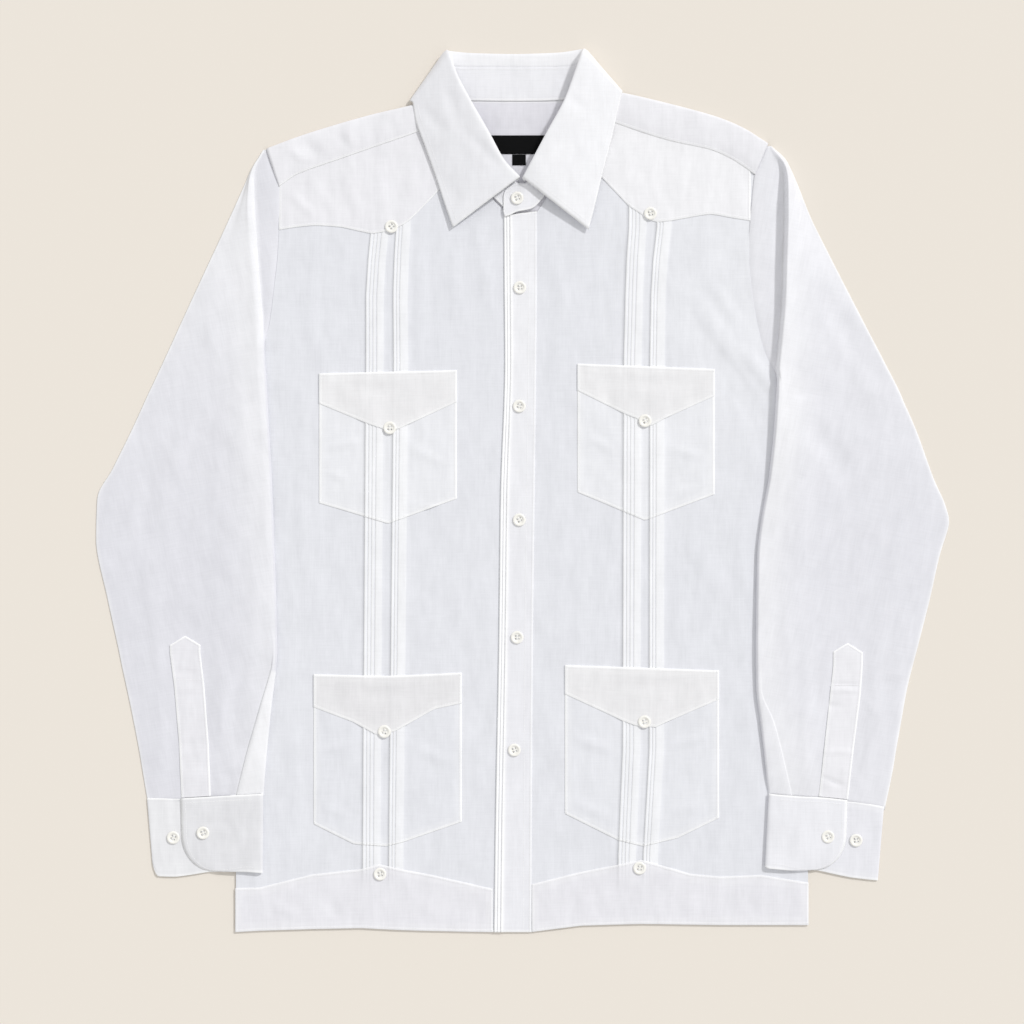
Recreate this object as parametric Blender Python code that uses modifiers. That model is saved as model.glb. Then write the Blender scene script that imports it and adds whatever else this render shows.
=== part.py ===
"""A long-sleeved guayabera shirt in white linen, laid flat and face up with its sleeves down over its sides.

Every cut piece of the shirt is one object. The tables are in millimetres and the finished meshes in metres:
X runs towards the wearer's left, Y towards the collar, Z up. The origin is under the middle of the outline,
on the surface that the shirt lies on. Heights are those of the middle of the cloth.
"""

import math
from collections import namedtuple

import bmesh
import bpy
import numpy as np

# Cloth and layers
WALL = 1.0
GAP = 0.3
LAYER = WALL + GAP
BACK_Z = WALL / 2
FRONT_Z = BACK_Z + LAYER
APPLIED_Z = FRONT_Z + LAYER
BAND_Z = APPLIED_Z + LAYER
METRES = 0.001

# Body
BODY_SIDE_RIGHT = -263.5
BODY_SIDE_LEFT = 262.5
ARMPIT_Y = 81.5
BACK_YOKE_SEAM_Y = 253.5
SHOULDER_FOLD = 1.3

# Tucks: the steps from one folded edge to the next, then the width of the broad last fold
TUCK_HEIGHT = 0.45
TUCK_RISE = 1.1
GROUP_A_STEPS = (3.2, 3.2, 3.5, 3.9)
GROUP_B_STEPS = (2.9, 2.9, 7.8)
TUCK_FADE = ((-366, -346, 230, 262), (0, 1, 1, 0))

# Collar
ROLL_GAP_FRONT = 3.0
ROLL_GAP_BACK = 2.0
COLLAR_BED = (-104.0, 93.0, 346.0)
COLLAR_BED_SLOPE = 18.0
COLLAR_BED_SIDE = 30.0

# Sleeves
UNDERARM_INSET = 14.0
SLEEVE_FOLD_INSET = 2.0
SLEEVE_BACK_GAP = 1.4

# Buttons
BUTTON_RADIUS = 5.9
BUTTON_HEIGHT = 2.4
BUTTON_SEAT = 1.2
BUTTON_SIDES = 16
BUTTON_HOLE_RADIUS = 0.7
BUTTON_HOLE_SPACING = 1.25
BUTTON_HOLE_SIDES = 5

Point = namedtuple("Point", "x y")
Span = namedtuple("Span", "y right left")
Edge = namedtuple("Edge", "x top low")
Tucks = namedtuple("Tucks", "y group_a group_b")
Fold = namedtuple("Fold", "x0 y0 x1 y1 width height")
Shoulder = namedtuple("Shoulder", "low_x top_x top_y seam_x seam_y")
Head = namedtuple("Head", "y outer edge foot strip seam edge_z foot_z strip_z")
Arm = namedtuple("Arm", "y outer fold pleat seam edge_z pleat_z gap", defaults=(0.3,))
Cuff = namedtuple("Cuff", "x_top x_low y_top y_low z")
Section = namedtuple("Section", "roll edge seam neck turn")
Finish = namedtuple("Finish", "colour roughness")

LINEN = Finish((0.82, 0.83, 0.86), 0.85)
LINEN_DOUBLE = Finish((0.87, 0.87, 0.89), 0.85)
LINEN_STIFF = Finish((0.90, 0.90, 0.92), 0.8)
LABEL_BLACK = Finish((0.012, 0.012, 0.012), 0.75)
PEARL = Finish((0.80, 0.78, 0.73), 0.3)

# The armhole seam of the front and the back, from the armpit to the end of the shoulder strip
ARMHOLE = (
    Span(81.5, -263.5, 262.5),
    Span(88, -259.0, 246.0),
    Span(102, -251.5, 232.0),
    Span(126, -241.0, 223.0),
    Span(152, -233.0, 216.0),
    Span(190, -228.0, 210.0),
    Span(218, -225.0, 208.0),
    Span(240, -224.0, 209.5),
    Span(280, -223.5, 213.0),
    Span(291, -226.5, 214.0),
    Span(318, -237.5, 225.5),
)

# The bottom edge of the shirt
HEM = (
    Point(-264, -406), Point(-238, -404.5), Point(-155, -402), Point(-102, -404.5), Point(-26, -406),
    Point(7, -406), Point(35, -400.5), Point(111, -398.5), Point(186, -399.5), Point(264, -399.5),
)

# The opening: the free edge of the placket, and the line where it is sewn to the left front
OPENING = (
    Span(-406, -26.0, 8.0),
    Span(-296, -24.5, 8.5),
    Span(-137, -21.5, 9.5),
    Span(-8, -20.0, 11.0),
    Span(120, -16.0, 12.5),
    Span(185, -16.5, 13.0),
    Span(257, -17.0, 13.0),
)

# Necklines of the two fronts, from the middle up to the shoulder
NECK_RIGHT = (Point(13, 243), Point(0, 249), Point(-15, 255), Point(-43.5, 285.5), Point(-65, 315), Point(-75, 341))
NECK_LEFT = (Point(13.3, 256), Point(34.5, 287.5), Point(54, 317), Point(65, 342.5))

# Where each shoulder strip of the back yoke meets its front
STRIP_SEAM_RIGHT = (
    Point(-223.5, 280), Point(-209, 290.5), Point(-168, 305.5), Point(-132, 318), Point(-97, 330.5), Point(-75, 341),
)
STRIP_SEAM_LEFT = (
    Point(65, 344.5), Point(85.5, 338.5), Point(135, 322.5), Point(173, 314), Point(191, 306), Point(214, 291),
)

# The back yoke in columns across the shoulders: its low edge, the shoulder fold, and the strip's seam in front
BACK_YOKE = (
    Shoulder(-224, -234.5, 314.5, -223.9, 280.4),
    Shoulder(-206, -205.0, 325.5, -209.0, 290.9),
    Shoulder(-172, -173.5, 335.5, -168.0, 305.9),
    Shoulder(-136, -138.0, 345.5, -132.0, 318.4),
    Shoulder(-103, -104.5, 353.2, -97.0, 330.9),
    Shoulder(-80, -79.5, 359.5, -77.5, 340.4),
    Shoulder(-45, -50.0, 357.7, None, None),
    Shoulder(-7, -7.0, 357.4, None, None),
    Shoulder(33, 38.0, 357.6, None, None),
    Shoulder(54, 55.0, 361.2, None, None),
    Shoulder(72, 71.0, 368.8, 67.5, 344.6),
    Shoulder(93, 93.0, 365.0, 85.5, 338.9),
    Shoulder(136, 138.5, 354.5, 135.0, 322.9),
    Shoulder(176, 182.5, 342.0, 173.2, 314.4),
    Shoulder(196, 206.0, 331.5, 191.2, 306.4),
    Shoulder(208.5, 223.0, 320.0, 214.0, 291.4),
)

# Front yokes: columns from the armhole to the neckline
YOKE_RIGHT = (
    Edge(-223.7, 280, 239.5), Edge(-209, 290.5, 242), Edge(-190, 297.5, 243.7), Edge(-168, 305.5, 242.3),
    Edge(-150, 311.7, 238.5), Edge(-138.5, 315.8, 236.3), Edge(-126.5, 320, 238), Edge(-115, 324, 241.8),
    Edge(-104.5, 327.8, 248), Edge(-97, 330.5, 255), Edge(-84, 336.6, 268.5), Edge(-77, 339.5, 276),
    Edge(-67, 318, 287.5), Edge(-60, 307, 296),
)
YOKE_LEFT = (
    Edge(53, 311, 306), Edge(60, 328, 299.5), Edge(68, 342.8, 292.5), Edge(85.5, 338.5, 274.5), Edge(98, 334.5, 261.5),
    Edge(110, 330.6, 253.5), Edge(117, 328.3, 248.5), Edge(124.5, 325.9, 246.8), Edge(135, 322.5, 247.8),
    Edge(147.5, 319.7, 250), Edge(173, 314, 254), Edge(191, 306, 251), Edge(209.5, 293.9, 248),
)

# Tuck lines: where the first folded edge of each group runs
TUCKS_RIGHT = (Tucks(-335, -147.0, -123.0), Tucks(-238, -146.5, -122.0), Tucks(120, -144.0, -118.5),
               Tucks(180, -144.0, -119.0), Tucks(242, -139.5, -116.5))
TUCKS_LEFT = (Tucks(-335, 88.0, 111.0), Tucks(-238, 92.0, 116.5), Tucks(120, 93.0, 117.0),
              Tucks(180, 94.5, 118.0), Tucks(242, 97.7, 123.5))

# Pockets and the bands across their tops: columns from the wearer's right to left
POCKETS = {
    "pocket_chest_right": (Edge(-187, 107.5, -11.5), Edge(-168, 108.0, -17), Edge(-123.5, 109.0, -30.5),
                           Edge(-80, 110.0, -14.5), Edge(-60.5, 110.5, -7.5)),
    "pocket_chest_left": (Edge(50.5, 116.5, -1.5), Edge(70, 115.7, -9.5), Edge(112.5, 114.0, -27.5),
                          Edge(155, 112.4, -11.5), Edge(176.5, 111.5, -3.5)),
    "pocket_waist_right": (Edge(-192, -169.0, -306.5), Edge(-155, -170.0, -325), Edge(-125, -170.5, -327),
                           Edge(-109.5, -170.0, -323), Edge(-56, -167.5, -304.5)),
    "pocket_waist_left": (Edge(39, -160.5, -297), Edge(88, -162.2, -321.5), Edge(111, -163.0, -327),
                          Edge(142.5, -164.2, -319.5), Edge(180.5, -165.5, -301)),
}
POCKET_BANDS = {
    "pocket_band_chest_right": (Edge(-187, 107.5, 80.0), Edge(-141, 108.6, 61), Edge(-127.5, 108.9, 56.5),
                                Edge(-114.5, 109.2, 56.5), Edge(-102.5, 109.5, 62), Edge(-60.5, 110.5, 81.5)),
    "pocket_band_chest_left": (Edge(50.5, 116.5, 92.0), Edge(94, 114.7, 70.5), Edge(105.5, 114.3, 66),
                               Edge(118, 113.8, 59.5), Edge(131, 113.3, 66.5), Edge(176.5, 111.5, 87)),
    "pocket_band_waist_right": (Edge(-192, -169.0, -199.0), Edge(-155, -170.0, -213), Edge(-134, -170.4, -224.5),
                                Edge(-118, -170.3, -221.5), Edge(-106, -169.8, -215), Edge(-81.5, -168.7, -201),
                                Edge(-56, -167.5, -195.5)),
    "pocket_band_waist_left": (Edge(39, -160.5, -187.0), Edge(92, -162.4, -211.5), Edge(105, -162.8, -216.5),
                               Edge(122, -163.4, -217.5), Edge(133, -163.8, -212.5), Edge(180.5, -165.5, -192)),
}

# The two bands along the hem of the fronts, each with a low peak under its line of tucks
HEM_BAND_RIGHT = (
    Edge(-264, -365.5, -406), Edge(-241.5, -365, -404.7), Edge(-193.5, -353, -403.2), Edge(-148, -348, -402.3),
    Edge(-131.5, -343.5, -403.2), Edge(-112.5, -348, -404.1), Edge(-83.5, -353.5, -404.9), Edge(-28.3, -366.3, -406),
)
HEM_BAND_LEFT = (
    Edge(8.6, -362, -405.8), Edge(54.5, -350.5, -400), Edge(88, -344, -399), Edge(109, -339.5, -398.5),
    Edge(122, -343, -398.6), Edge(154, -352.5, -399.1), Edge(181.5, -355, -399.5), Edge(219.5, -353.5, -399.5),
    Edge(262.8, -360.5, -399.5),
)

# The largest folds: ridges from one end to the other
BODY_FOLDS = (
    Fold(150, 186, 204, 112, 13, 1.5),
    Fold(184, 122, 226, 90, 10, 1.1),
)
SLEEVE_FOLDS_RIGHT = (
    Fold(-247, -90, -251, -268, 9, 1.8),
    Fold(-274, -120, -274, -262, 8, 1.2),
    Fold(-300, 90, -340, -40, 16, 1.4),
    Fold(-345, -60, -330, -200, 12, 1.0),
)
SLEEVE_FOLDS_LEFT = (
    Fold(330, -130, 318, -268, 12, 1.3),
    Fold(262, 60, 250, -110, 14, 1.4),
    Fold(352, -20, 330, -120, 12, 1.2),
)

# Each sleeve in rows down the arm. Head rows open at the armhole seam; arm rows close at the underarm seam.
SLEEVE_RIGHT_HEAD = (
    Head(305, -243.7, -239.2, -237.8, -236.0, -233.8, 3.6, 3.3, 3.2),
    Head(296, -249.3, -243.0, -240.0, -234.0, -229.8, 4.6, 3.8, 3.3),
    Head(284, -254.5, -247.0, -244.5, -233.0, -225.8, 6.2, 3.6, 3.2),
    Head(262, -264.3, -245.2, -243.0, -231.0, -225.2, 7.0, 3.2, 2.8),
    Head(233, -277.5, -243.0, -241.0, -231.0, -225.6, 7.4, 2.8, 2.4),
    Head(190, -297.5, -241.0, -239.3, -233.0, -229.0, 7.4, 2.8, 2.4),
    Head(152, -315.0, -238.6, -237.2, -235.8, -234.4, 7.0, 2.9, 2.2),
)
SLEEVE_RIGHT_ARM = (
    Arm(130, -325.0, -237.2, -237.2, -240.0, 6.8, 6.8),
    Arm(102, -338.0, -235.5, -235.5, -252.0, 6.8, 6.8, 1.2),
    Arm(88, -344.7, -234.6, -234.6, -259.8, 6.7, 6.7, 1.2),
    Arm(81.5, -347.6, -234.3, -234.3, -266.7, 6.6, 6.6),
    Arm(55.5, -359.5, -233.0, -233.0, -277.5, 6.6, 6.6),
    Arm(20, -377.0, -231.0, -231.0, -277.5, 6.4, 6.4),
    Arm(-8.5, -391.3, -229.8, -229.8, -277.5, 6.2, 6.2),
    Arm(-45.5, -392.3, -228.4, -228.4, -277.5, 6.0, 6.0),
    Arm(-100.5, -381.5, -226.5, -226.5, -277.5, 6.0, 6.0),
    Arm(-151.5, -370.6, -225.5, -226.6, -277.5, 6.0, 5.6),
    Arm(-200, -360.2, -231.0, -240.7, -277.5, 6.4, 5.0),
    Arm(-240, -352.4, -235.0, -252.2, -277.5, 6.6, 5.0),
    Arm(-278.2, -344.9, -238.5, -262.9, -277.5, 6.2, 4.8),
)
SLEEVE_LEFT_HEAD = (
    Head(312, 234.5, 229.8, 228.2, 226.4, 224.4, 4.0, 3.7, 3.5),
    Head(305, 241.6, 235.5, 232.0, 226.0, 221.4, 6.0, 4.6, 4.0),
    Head(297, 246.0, 240.5, 237.0, 228.0, 217.7, 8.5, 4.4, 5.2),
    Head(282, 252.7, 243.6, 241.8, 227.6, 213.9, 13.0, 2.6, 6.4),
    Head(252, 264.6, 243.5, 241.6, 228.0, 211.3, 14.5, 2.2, 6.8),
    Head(217, 281.8, 241.8, 240.0, 228.8, 208.4, 14.5, 2.2, 6.6),
    Head(181, 300.2, 239.5, 237.8, 230.0, 211.7, 14.0, 2.2, 5.8),
    Head(150, 316.2, 237.3, 235.8, 231.3, 216.8, 13.0, 2.2, 4.8),
    Head(122, 330.8, 234.8, 233.2, 230.0, 225.4, 12.5, 2.8, 3.0),
    Head(112, 335.9, 234.6, 233.6, 231.6, 229.0, 12.2, 5.0, 3.2),
)
SLEEVE_LEFT_ARM = (
    Arm(102, 341.2, 234.0, 234.0, 237.4, 12.0, 12.0),
    Arm(88, 348.0, 233.1, 233.1, 247.4, 11.8, 11.8),
    Arm(81.5, 350.6, 232.7, 232.7, 265.7, 11.6, 11.6),
    Arm(55.5, 362.0, 231.0, 231.0, 276.5, 11.0, 11.0),
    Arm(9.5, 378.7, 226.0, 226.0, 276.5, 8.5, 8.5),
    Arm(-13.5, 388.8, 221.8, 221.8, 276.5, 7.2, 7.2),
    Arm(-29, 392.3, 219.2, 219.2, 276.5, 6.8, 6.8),
    Arm(-60.5, 383.5, 215.8, 215.8, 276.5, 6.6, 6.6),
    Arm(-100.5, 374.5, 215.0, 215.0, 276.5, 7.2, 7.2),
    Arm(-146.5, 362.8, 214.5, 214.5, 276.5, 7.6, 7.6),
    Arm(-181, 354.0, 215.0, 216.2, 276.5, 7.6, 6.8),
    Arm(-213, 348.2, 218.9, 230.0, 276.5, 7.2, 4.8),
    Arm(-247, 341.8, 222.8, 239.2, 276.5, 7.0, 4.8),
    Arm(-278.2, 336.0, 226.5, 247.3, 276.5, 6.6, 4.8),
)
SLEEVE_END_RIGHT = (Point(-345, -282.3), Point(-314.5, -282.3), Point(-238.5, -277.9))
SLEEVE_END_LEFT = (Point(226.5, -277.8), Point(273.5, -281.2), Point(298.5, -283.7), Point(334, -290.1))

# Each cuff as one strip: from its upper end round the inner fold, back underneath, and up round the outer fold
CUFF_RIGHT = (
    Cuff(-314.5, -294, -283, -347.5, 3.4), Cuff(-290, -283, -281.5, -349, 4.0), Cuff(-265, -262, -280, -350, 5.0),
    Cuff(-241.5, -241.5, -278.7, -351, 5.8), Cuff(-238.5, -239, -278.5, -351, 4.5), Cuff(-241.5, -241.5, -278.7, -351, 3.1),
    Cuff(-264.4, -264.4, -280, -350.5, 3.1), Cuff(-278, -278, -281, -350.5, 0.5), Cuff(-310, -308, -283, -352, 0.5),
    Cuff(-342.8, -335, -283, -354.5, 0.5), Cuff(-345, -340, -283, -343, 1.15), Cuff(-342.8, -335, -283, -354.5, 1.8),
    Cuff(-322, -320, -283, -355, 1.9), Cuff(-303, -300, -282.5, -351.5, 1.9),
)
CUFF_LEFT = (
    Cuff(298.5, 279, -284.5, -346, 3.4), Cuff(275, 268, -282, -348.5, 3.9), Cuff(255, 252, -281, -348.7, 5.0),
    Cuff(229.5, 226, -278.8, -347, 6.2), Cuff(226.5, 223, -278.5, -345.5, 4.8), Cuff(229.5, 226, -278.8, -347, 3.1),
    Cuff(264, 264, -281.5, -348.7, 3.1), Cuff(278, 278, -282.5, -349.5, 0.5), Cuff(305, 303, -286, -355, 0.5),
    Cuff(330, 324.5, -290.5, -358.3, 0.5), Cuff(332, 326.3, -291, -358.5, 1.15), Cuff(330, 324.5, -290.5, -358.3, 1.8),
    Cuff(308, 304, -286.5, -356, 1.9), Cuff(288, 284, -283.5, -351, 1.9),
)
CUFF_ROWS = 5

# Sleeve plackets: the pointed strips above the cuffs
SLEEVE_PLACKET_RIGHT = (Span(-133.5, -311.0, -309.0), Span(-142, -324.0, -296.0), Span(-174, -320.0, -292.3),
                        Span(-230, -315.5, -288.3), Span(-279, -313.5, -286.5))
SLEEVE_PLACKET_LEFT = (Span(-140, 297.5, 299.5), Span(-148.5, 285.5, 312.5), Span(-179, 282.4, 310.5),
                       Span(-230, 277.2, 304.5), Span(-281, 272.0, 298.8))

# The collar in sections from its right front end, round the back of the neck, to its left front end.
# turn is 0 where the leaf lies over the stand, 90 at the side folds and 180 where it lies underneath.
COLLAR_RIGHT = (
    Section((-2.5, 287.5, 8.2), (-64, 241.5, 6.3), (-4.5, 284.5, 3.2), (-13.5, 256.5, 3.1), 0),
    Section((-16, 301.5, 9.2), (-70.5, 260, 6.2), (-20, 298.5, 5.0), (-42.5, 286.5, 3.2), 0),
    Section((-31.5, 329, 10.0), (-78.5, 284.5, 6.2), (-36.5, 325.5, 6.8), (-63, 316, 3.2), 0),
    Section((-48.5, 358.5, 10.8), (-89.5, 316, 6.6), (-54.5, 354.0, 7.6), (-73, 341, 4.4), 0),
    Section((-60.5, 381.5, 10.8), (-98, 340, 7.0), (-66.5, 374.0, 7.6), (-75, 354, 5.0), 0),
    Section((-67, 399.5, 9.6), (-101.0, 356.6, 7.2), (-68.5, 386.0, 6.6), (-76, 363.0, 5.0), 10),
    Section((-69.5, 404.0, 6.0), (-103.5, 358.0, 4.0), (-66.5, 389.0, 4.2), (-75.5, 364.0, 3.6), 90),
    Section((-66.0, 403.5, 2.0), (-98, 356.6, 0.5), (-62, 388.5, 2.6), (-72, 362.0, 1.9), 170),
    Section((-47, 401.8, 1.55), (-68, 351, 0.5), (-51, 388, 2.6), (-58, 358.8, 1.8), 180),
    Section((-27, 401.2, 1.55), (-38, 349, 0.5), (-29, 388, 2.6), (-32, 358.2, 1.8), 180),
)
COLLAR_BACK = (Section((-7, 400.9, 1.55), (-7, 348.5, 0.5), (-7, 388, 2.6), (-7, 358, 1.8), 180),)
COLLAR_LEFT = (
    Section((14, 401.4, 1.55), (24, 349.5, 0.5), (15, 388, 2.6), (18, 358.2, 1.8), 180),
    Section((35, 402.4, 1.55), (56, 352, 0.5), (38, 388.5, 2.6), (46, 360.2, 1.8), 180),
    Section((52.5, 405.0, 2.0), (86, 368.8, 0.5), (48, 389.5, 2.6), (62, 366.0, 1.9), 190),
    Section((56.5, 405.3, 6.0), (92.0, 370.2, 4.0), (53, 391.0, 4.2), (65.5, 373.0, 3.6), 270),
    Section((54.5, 401.5, 9.6), (89.6, 368.6, 7.2), (55.5, 388.0, 6.6), (66, 372.0, 5.0), 350),
    Section((47.5, 381.5, 10.8), (87, 347.5, 7.0), (53.5, 376.0, 7.6), (65, 361.0, 5.0), 360),
    Section((39, 358.5, 10.8), (81.5, 322.5, 6.6), (45, 354.5, 7.6), (62, 343.0, 4.4), 360),
    Section((23.5, 330, 10.0), (73, 289.5, 6.2), (28.5, 326.8, 6.8), (51.5, 318.5, 3.2), 360),
    Section((9.5, 304, 9.2), (66.5, 262.5, 6.2), (13.5, 301.5, 6.4), (33, 289.0, 3.6), 360),
    Section((0, 286.5, 8.2), (60.5, 239.5, 6.3), (1.5, 283.5, 6.0), (8.3, 259.0, 4.5), 360),
)
# The tab of the stand that closes over the other end: its top and low edge
STAND_TAB = (Edge(-5.5, 282.6, 256.0), Edge(-11.5, 279.5, 253.0), Edge(-15.8, 275.8, 252.0), Edge(-17.5, 271.0, 256.5))
STAND_TAB_Z = 4.5

LABEL = (-30.0, 21.5, 309.3, 326.5)
SIZE_TAB = (-9.5, 3.0, 299.0, 308.9)

# Button centres, with the height of the cloth they lie on
BUTTONS = {
    "button_collar": (-5.0, 268.5, STAND_TAB_Z),
    "button_front_1": (-2.5, 186.5, APPLIED_Z),
    "button_front_2": (-3.0, 77.5, APPLIED_Z),
    "button_front_3": (-3.0, -27.0, APPLIED_Z),
    "button_front_4": (-5.0, -135.0, APPLIED_Z),
    "button_front_5": (-7.5, -238.5, APPLIED_Z),
    "button_yoke_right": (-120.5, 242.5, APPLIED_Z),
    "button_yoke_left": (117.5, 254.5, APPLIED_Z),
    "button_pocket_chest_right": (-122.0, 57.5, BAND_Z),
    "button_pocket_chest_left": (112.5, 64.0, BAND_Z),
    "button_pocket_waist_right": (-127.0, -221.5, BAND_Z),
    "button_pocket_waist_left": (112.0, -212.5, BAND_Z),
    "button_hem_right": (-131.0, -352.5, APPLIED_Z),
    "button_hem_left": (107.5, -347.0, APPLIED_Z),
    "button_cuff_right_upper": (-293.5, -314.5, 4.2),
    "button_cuff_right_under": (-321.0, -319.0, 1.9),
    "button_cuff_left_upper": (280.5, -318.0, 4.0),
    "button_cuff_left_under": (306.5, -321.5, 1.9),
}


def column(rows, name):
    """One named column of a table, as numbers."""
    return np.array([getattr(row, name) for row in rows], float)


def straight(rows, key, name, at):
    """The column's value at a key, along straight lines between the table's rows."""
    keys, values = column(rows, key), column(rows, name)
    order = np.argsort(keys)
    return float(np.interp(at, keys[order], values[order]))


def smooth(rows, key, name, at):
    """The column's value at a key, along a smooth curve through the table's rows that never overshoots them."""
    keys, values = column(rows, key), column(rows, name)
    order = np.argsort(keys)
    keys, values = keys[order], values[order]
    steps = np.diff(keys)
    slopes = np.diff(values) / steps
    tangents = np.concatenate(([slopes[0]], np.zeros(len(keys) - 2), [slopes[-1]]))
    for i in range(1, len(keys) - 1):
        if slopes[i - 1] * slopes[i] > 0:
            tangents[i] = 2 * slopes[i - 1] * slopes[i] / (slopes[i - 1] + slopes[i])
    i = int(np.clip(np.searchsorted(keys, at) - 1, 0, len(steps) - 1))
    t = float(np.clip((at - keys[i]) / steps[i], 0, 1))
    rise = 3 * t * t - 2 * t ** 3
    return float(
        values[i] * (1 - rise) + values[i + 1] * rise
        + steps[i] * (tangents[i] * (t - 2 * t * t + t ** 3) + tangents[i + 1] * (t ** 3 - t * t))
    )


def ease(t):
    """0 below 0, 1 above 1 and a soft slope between."""
    t = min(max(t, 0.0), 1.0)
    return t * t * (3 - 2 * t)


def between(a, b, share):
    """The number that lies at a share of the way from a to b."""
    return a + (b - a) * share


def ridges(folds, x, y):
    """Height of the soft folds at a point: each is a rounded ridge that dies away at both ends."""
    height = 0.0
    for fold in folds:
        along_x, along_y = fold.x1 - fold.x0, fold.y1 - fold.y0
        length = math.hypot(along_x, along_y)
        share = ((x - fold.x0) * along_x + (y - fold.y0) * along_y) / length ** 2
        away = abs((x - fold.x0) * along_y - (y - fold.y0) * along_x) / length
        if 0 < share < 1 and away < fold.width:
            height += fold.height * math.sin(math.pi * share) * math.cos(math.pi * away / fold.width / 2) ** 2
    return height


def body_lift(x, y):
    """How far the body's layers rise: over the back of the collar, which lies under them, and over the folds."""
    low_x, high_x, low_y = COLLAR_BED
    across = 1 - max(low_x - x, x - high_x, 0) / COLLAR_BED_SIDE
    along = 1 - max(low_y - y, 0) / COLLAR_BED_SLOPE
    return LAYER * max(across, 0) * max(along, 0) + ridges(BODY_FOLDS, x, y)


def tuck_profile(steps):
    """The outline of a group of tucks: each rises sharply at its folded edge and slopes down to the next."""
    profile, x = [], 0.0
    for step in steps[:-1]:
        profile += [(x, 0.0), (x + TUCK_RISE, TUCK_HEIGHT)]
        x += step
    return profile + [(x, 0.0), (x + TUCK_RISE, TUCK_HEIGHT), (x + steps[-1], TUCK_HEIGHT), (x + steps[-1] + 0.6, 0.0)]


GROUP_A = tuck_profile(GROUP_A_STEPS)
GROUP_B = tuck_profile(GROUP_B_STEPS)


def tuck_lines(tucks, y):
    """Where the first folded edge of each group lies at a height on the body."""
    return straight(tucks, "y", "group_a", y), straight(tucks, "y", "group_b", y)


def tuck_height(tucks, x, y):
    """Height of the tucks at a point of a front."""
    start_a, start_b = tuck_lines(tucks, y)
    height = np.interp(x - start_a, *zip(*GROUP_A)) + np.interp(x - start_b, *zip(*GROUP_B))
    return float(height * np.interp(y, *TUCK_FADE))


def front_height(tucks, z):
    """A function for the height of a layer that follows the front: its lift and its tucks."""
    return lambda x, y: z + body_lift(x, y) + tuck_height(tucks, x, y)


def body_height(z):
    """A function for the height of a layer of the body that has no tucks."""
    return lambda x, y: z + body_lift(x, y)


def grid_mesh(name, rows):
    """An open sheet from rows of points in millimetres. A row may hold None where the sheet has no cloth."""
    shape = bmesh.new()
    vertices = [[p and shape.verts.new([c * METRES for c in p]) for p in row] for row in rows]
    for lower, upper in zip(vertices, vertices[1:]):
        for i in range(len(lower) - 1):
            corners = (lower[i], lower[i + 1], upper[i + 1], upper[i])
            if all(corners):
                shape.faces.new(corners)
    mesh = bpy.data.meshes.new(name)
    shape.to_mesh(mesh)
    shape.free()
    return mesh


def material(name, finish):
    """A plain Principled material, made once for each name."""
    found = bpy.data.materials.get(name)
    if found:
        return found
    made = bpy.data.materials.new(name)
    made.use_nodes = True
    shader = made.node_tree.nodes["Principled BSDF"]
    shader.inputs["Base Color"].default_value = (*finish.colour, 1)
    shader.inputs["Roughness"].default_value = finish.roughness
    shader.inputs["Metallic"].default_value = 0.0
    return made


def add_object(name, mesh, finish, collection):
    """Puts a mesh in the collection as a named object with its own material."""
    piece = bpy.data.objects.new(name, mesh)
    piece.data.materials.append(material(name, finish))
    collection.objects.link(piece)
    return piece


def cloth(name, rows, finish, collection):
    """A piece of cloth: the sheet through the rows of points, with the wall's thickness about it."""
    piece = add_object(name, grid_mesh(name, rows), finish, collection)
    wall = piece.modifiers.new("Wall", "SOLIDIFY")
    wall.thickness = WALL * METRES
    wall.offset = 0
    wall.use_even_offset = True
    wall.use_quality_normals = True
    return piece


def armhole(side, y):
    """Edge of the body on a side, down the armhole and then the side seam."""
    return smooth(ARMHOLE, "y", side, max(y, ARMPIT_Y))


def seam_x(seam, y):
    """Where a slanting shoulder seam lies at a height."""
    return straight(seam, "y", "x", y)


def front_columns(tucks, y, left, right):
    """Columns across a front, from the wearer's right to left, close together over each group of tucks."""
    start_a, start_b = tuck_lines(tucks, y)
    group_a = [start_a + x for x, _ in GROUP_A]
    group_b = [start_b + x for x, _ in GROUP_B]
    before = [between(left, group_a[0], share) for share in (0, 0.45, 0.8)]
    after = [between(group_b[-1], right, share) for share in (0.2, 0.55, 1)]
    return before + group_a + group_b + after


def front_panel(name, rows_y, tucks, left_edge, right_edge, fixed_above, collection):
    """A front, from the hem to the shoulder. Above its tucks the columns keep their shares of the width."""
    height = front_height(tucks, FRONT_Z)
    left, right = left_edge(fixed_above), right_edge(fixed_above)
    shares = [(x - left) / (right - left) for x in front_columns(tucks, fixed_above, left, right)]
    rows = []
    for y in rows_y:
        left, right = left_edge(y), right_edge(y)
        if y > fixed_above:
            across = [between(left, right, share) for share in shares]
        else:
            across = front_columns(tucks, y, left, right)
        down = [smooth(HEM, "x", "y", x) if y == rows_y[0] else y for x in across]
        rows.append([(x, at, height(x, at)) for x, at in zip(across, down)])
    return cloth(name, rows, LINEN, collection)


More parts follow.
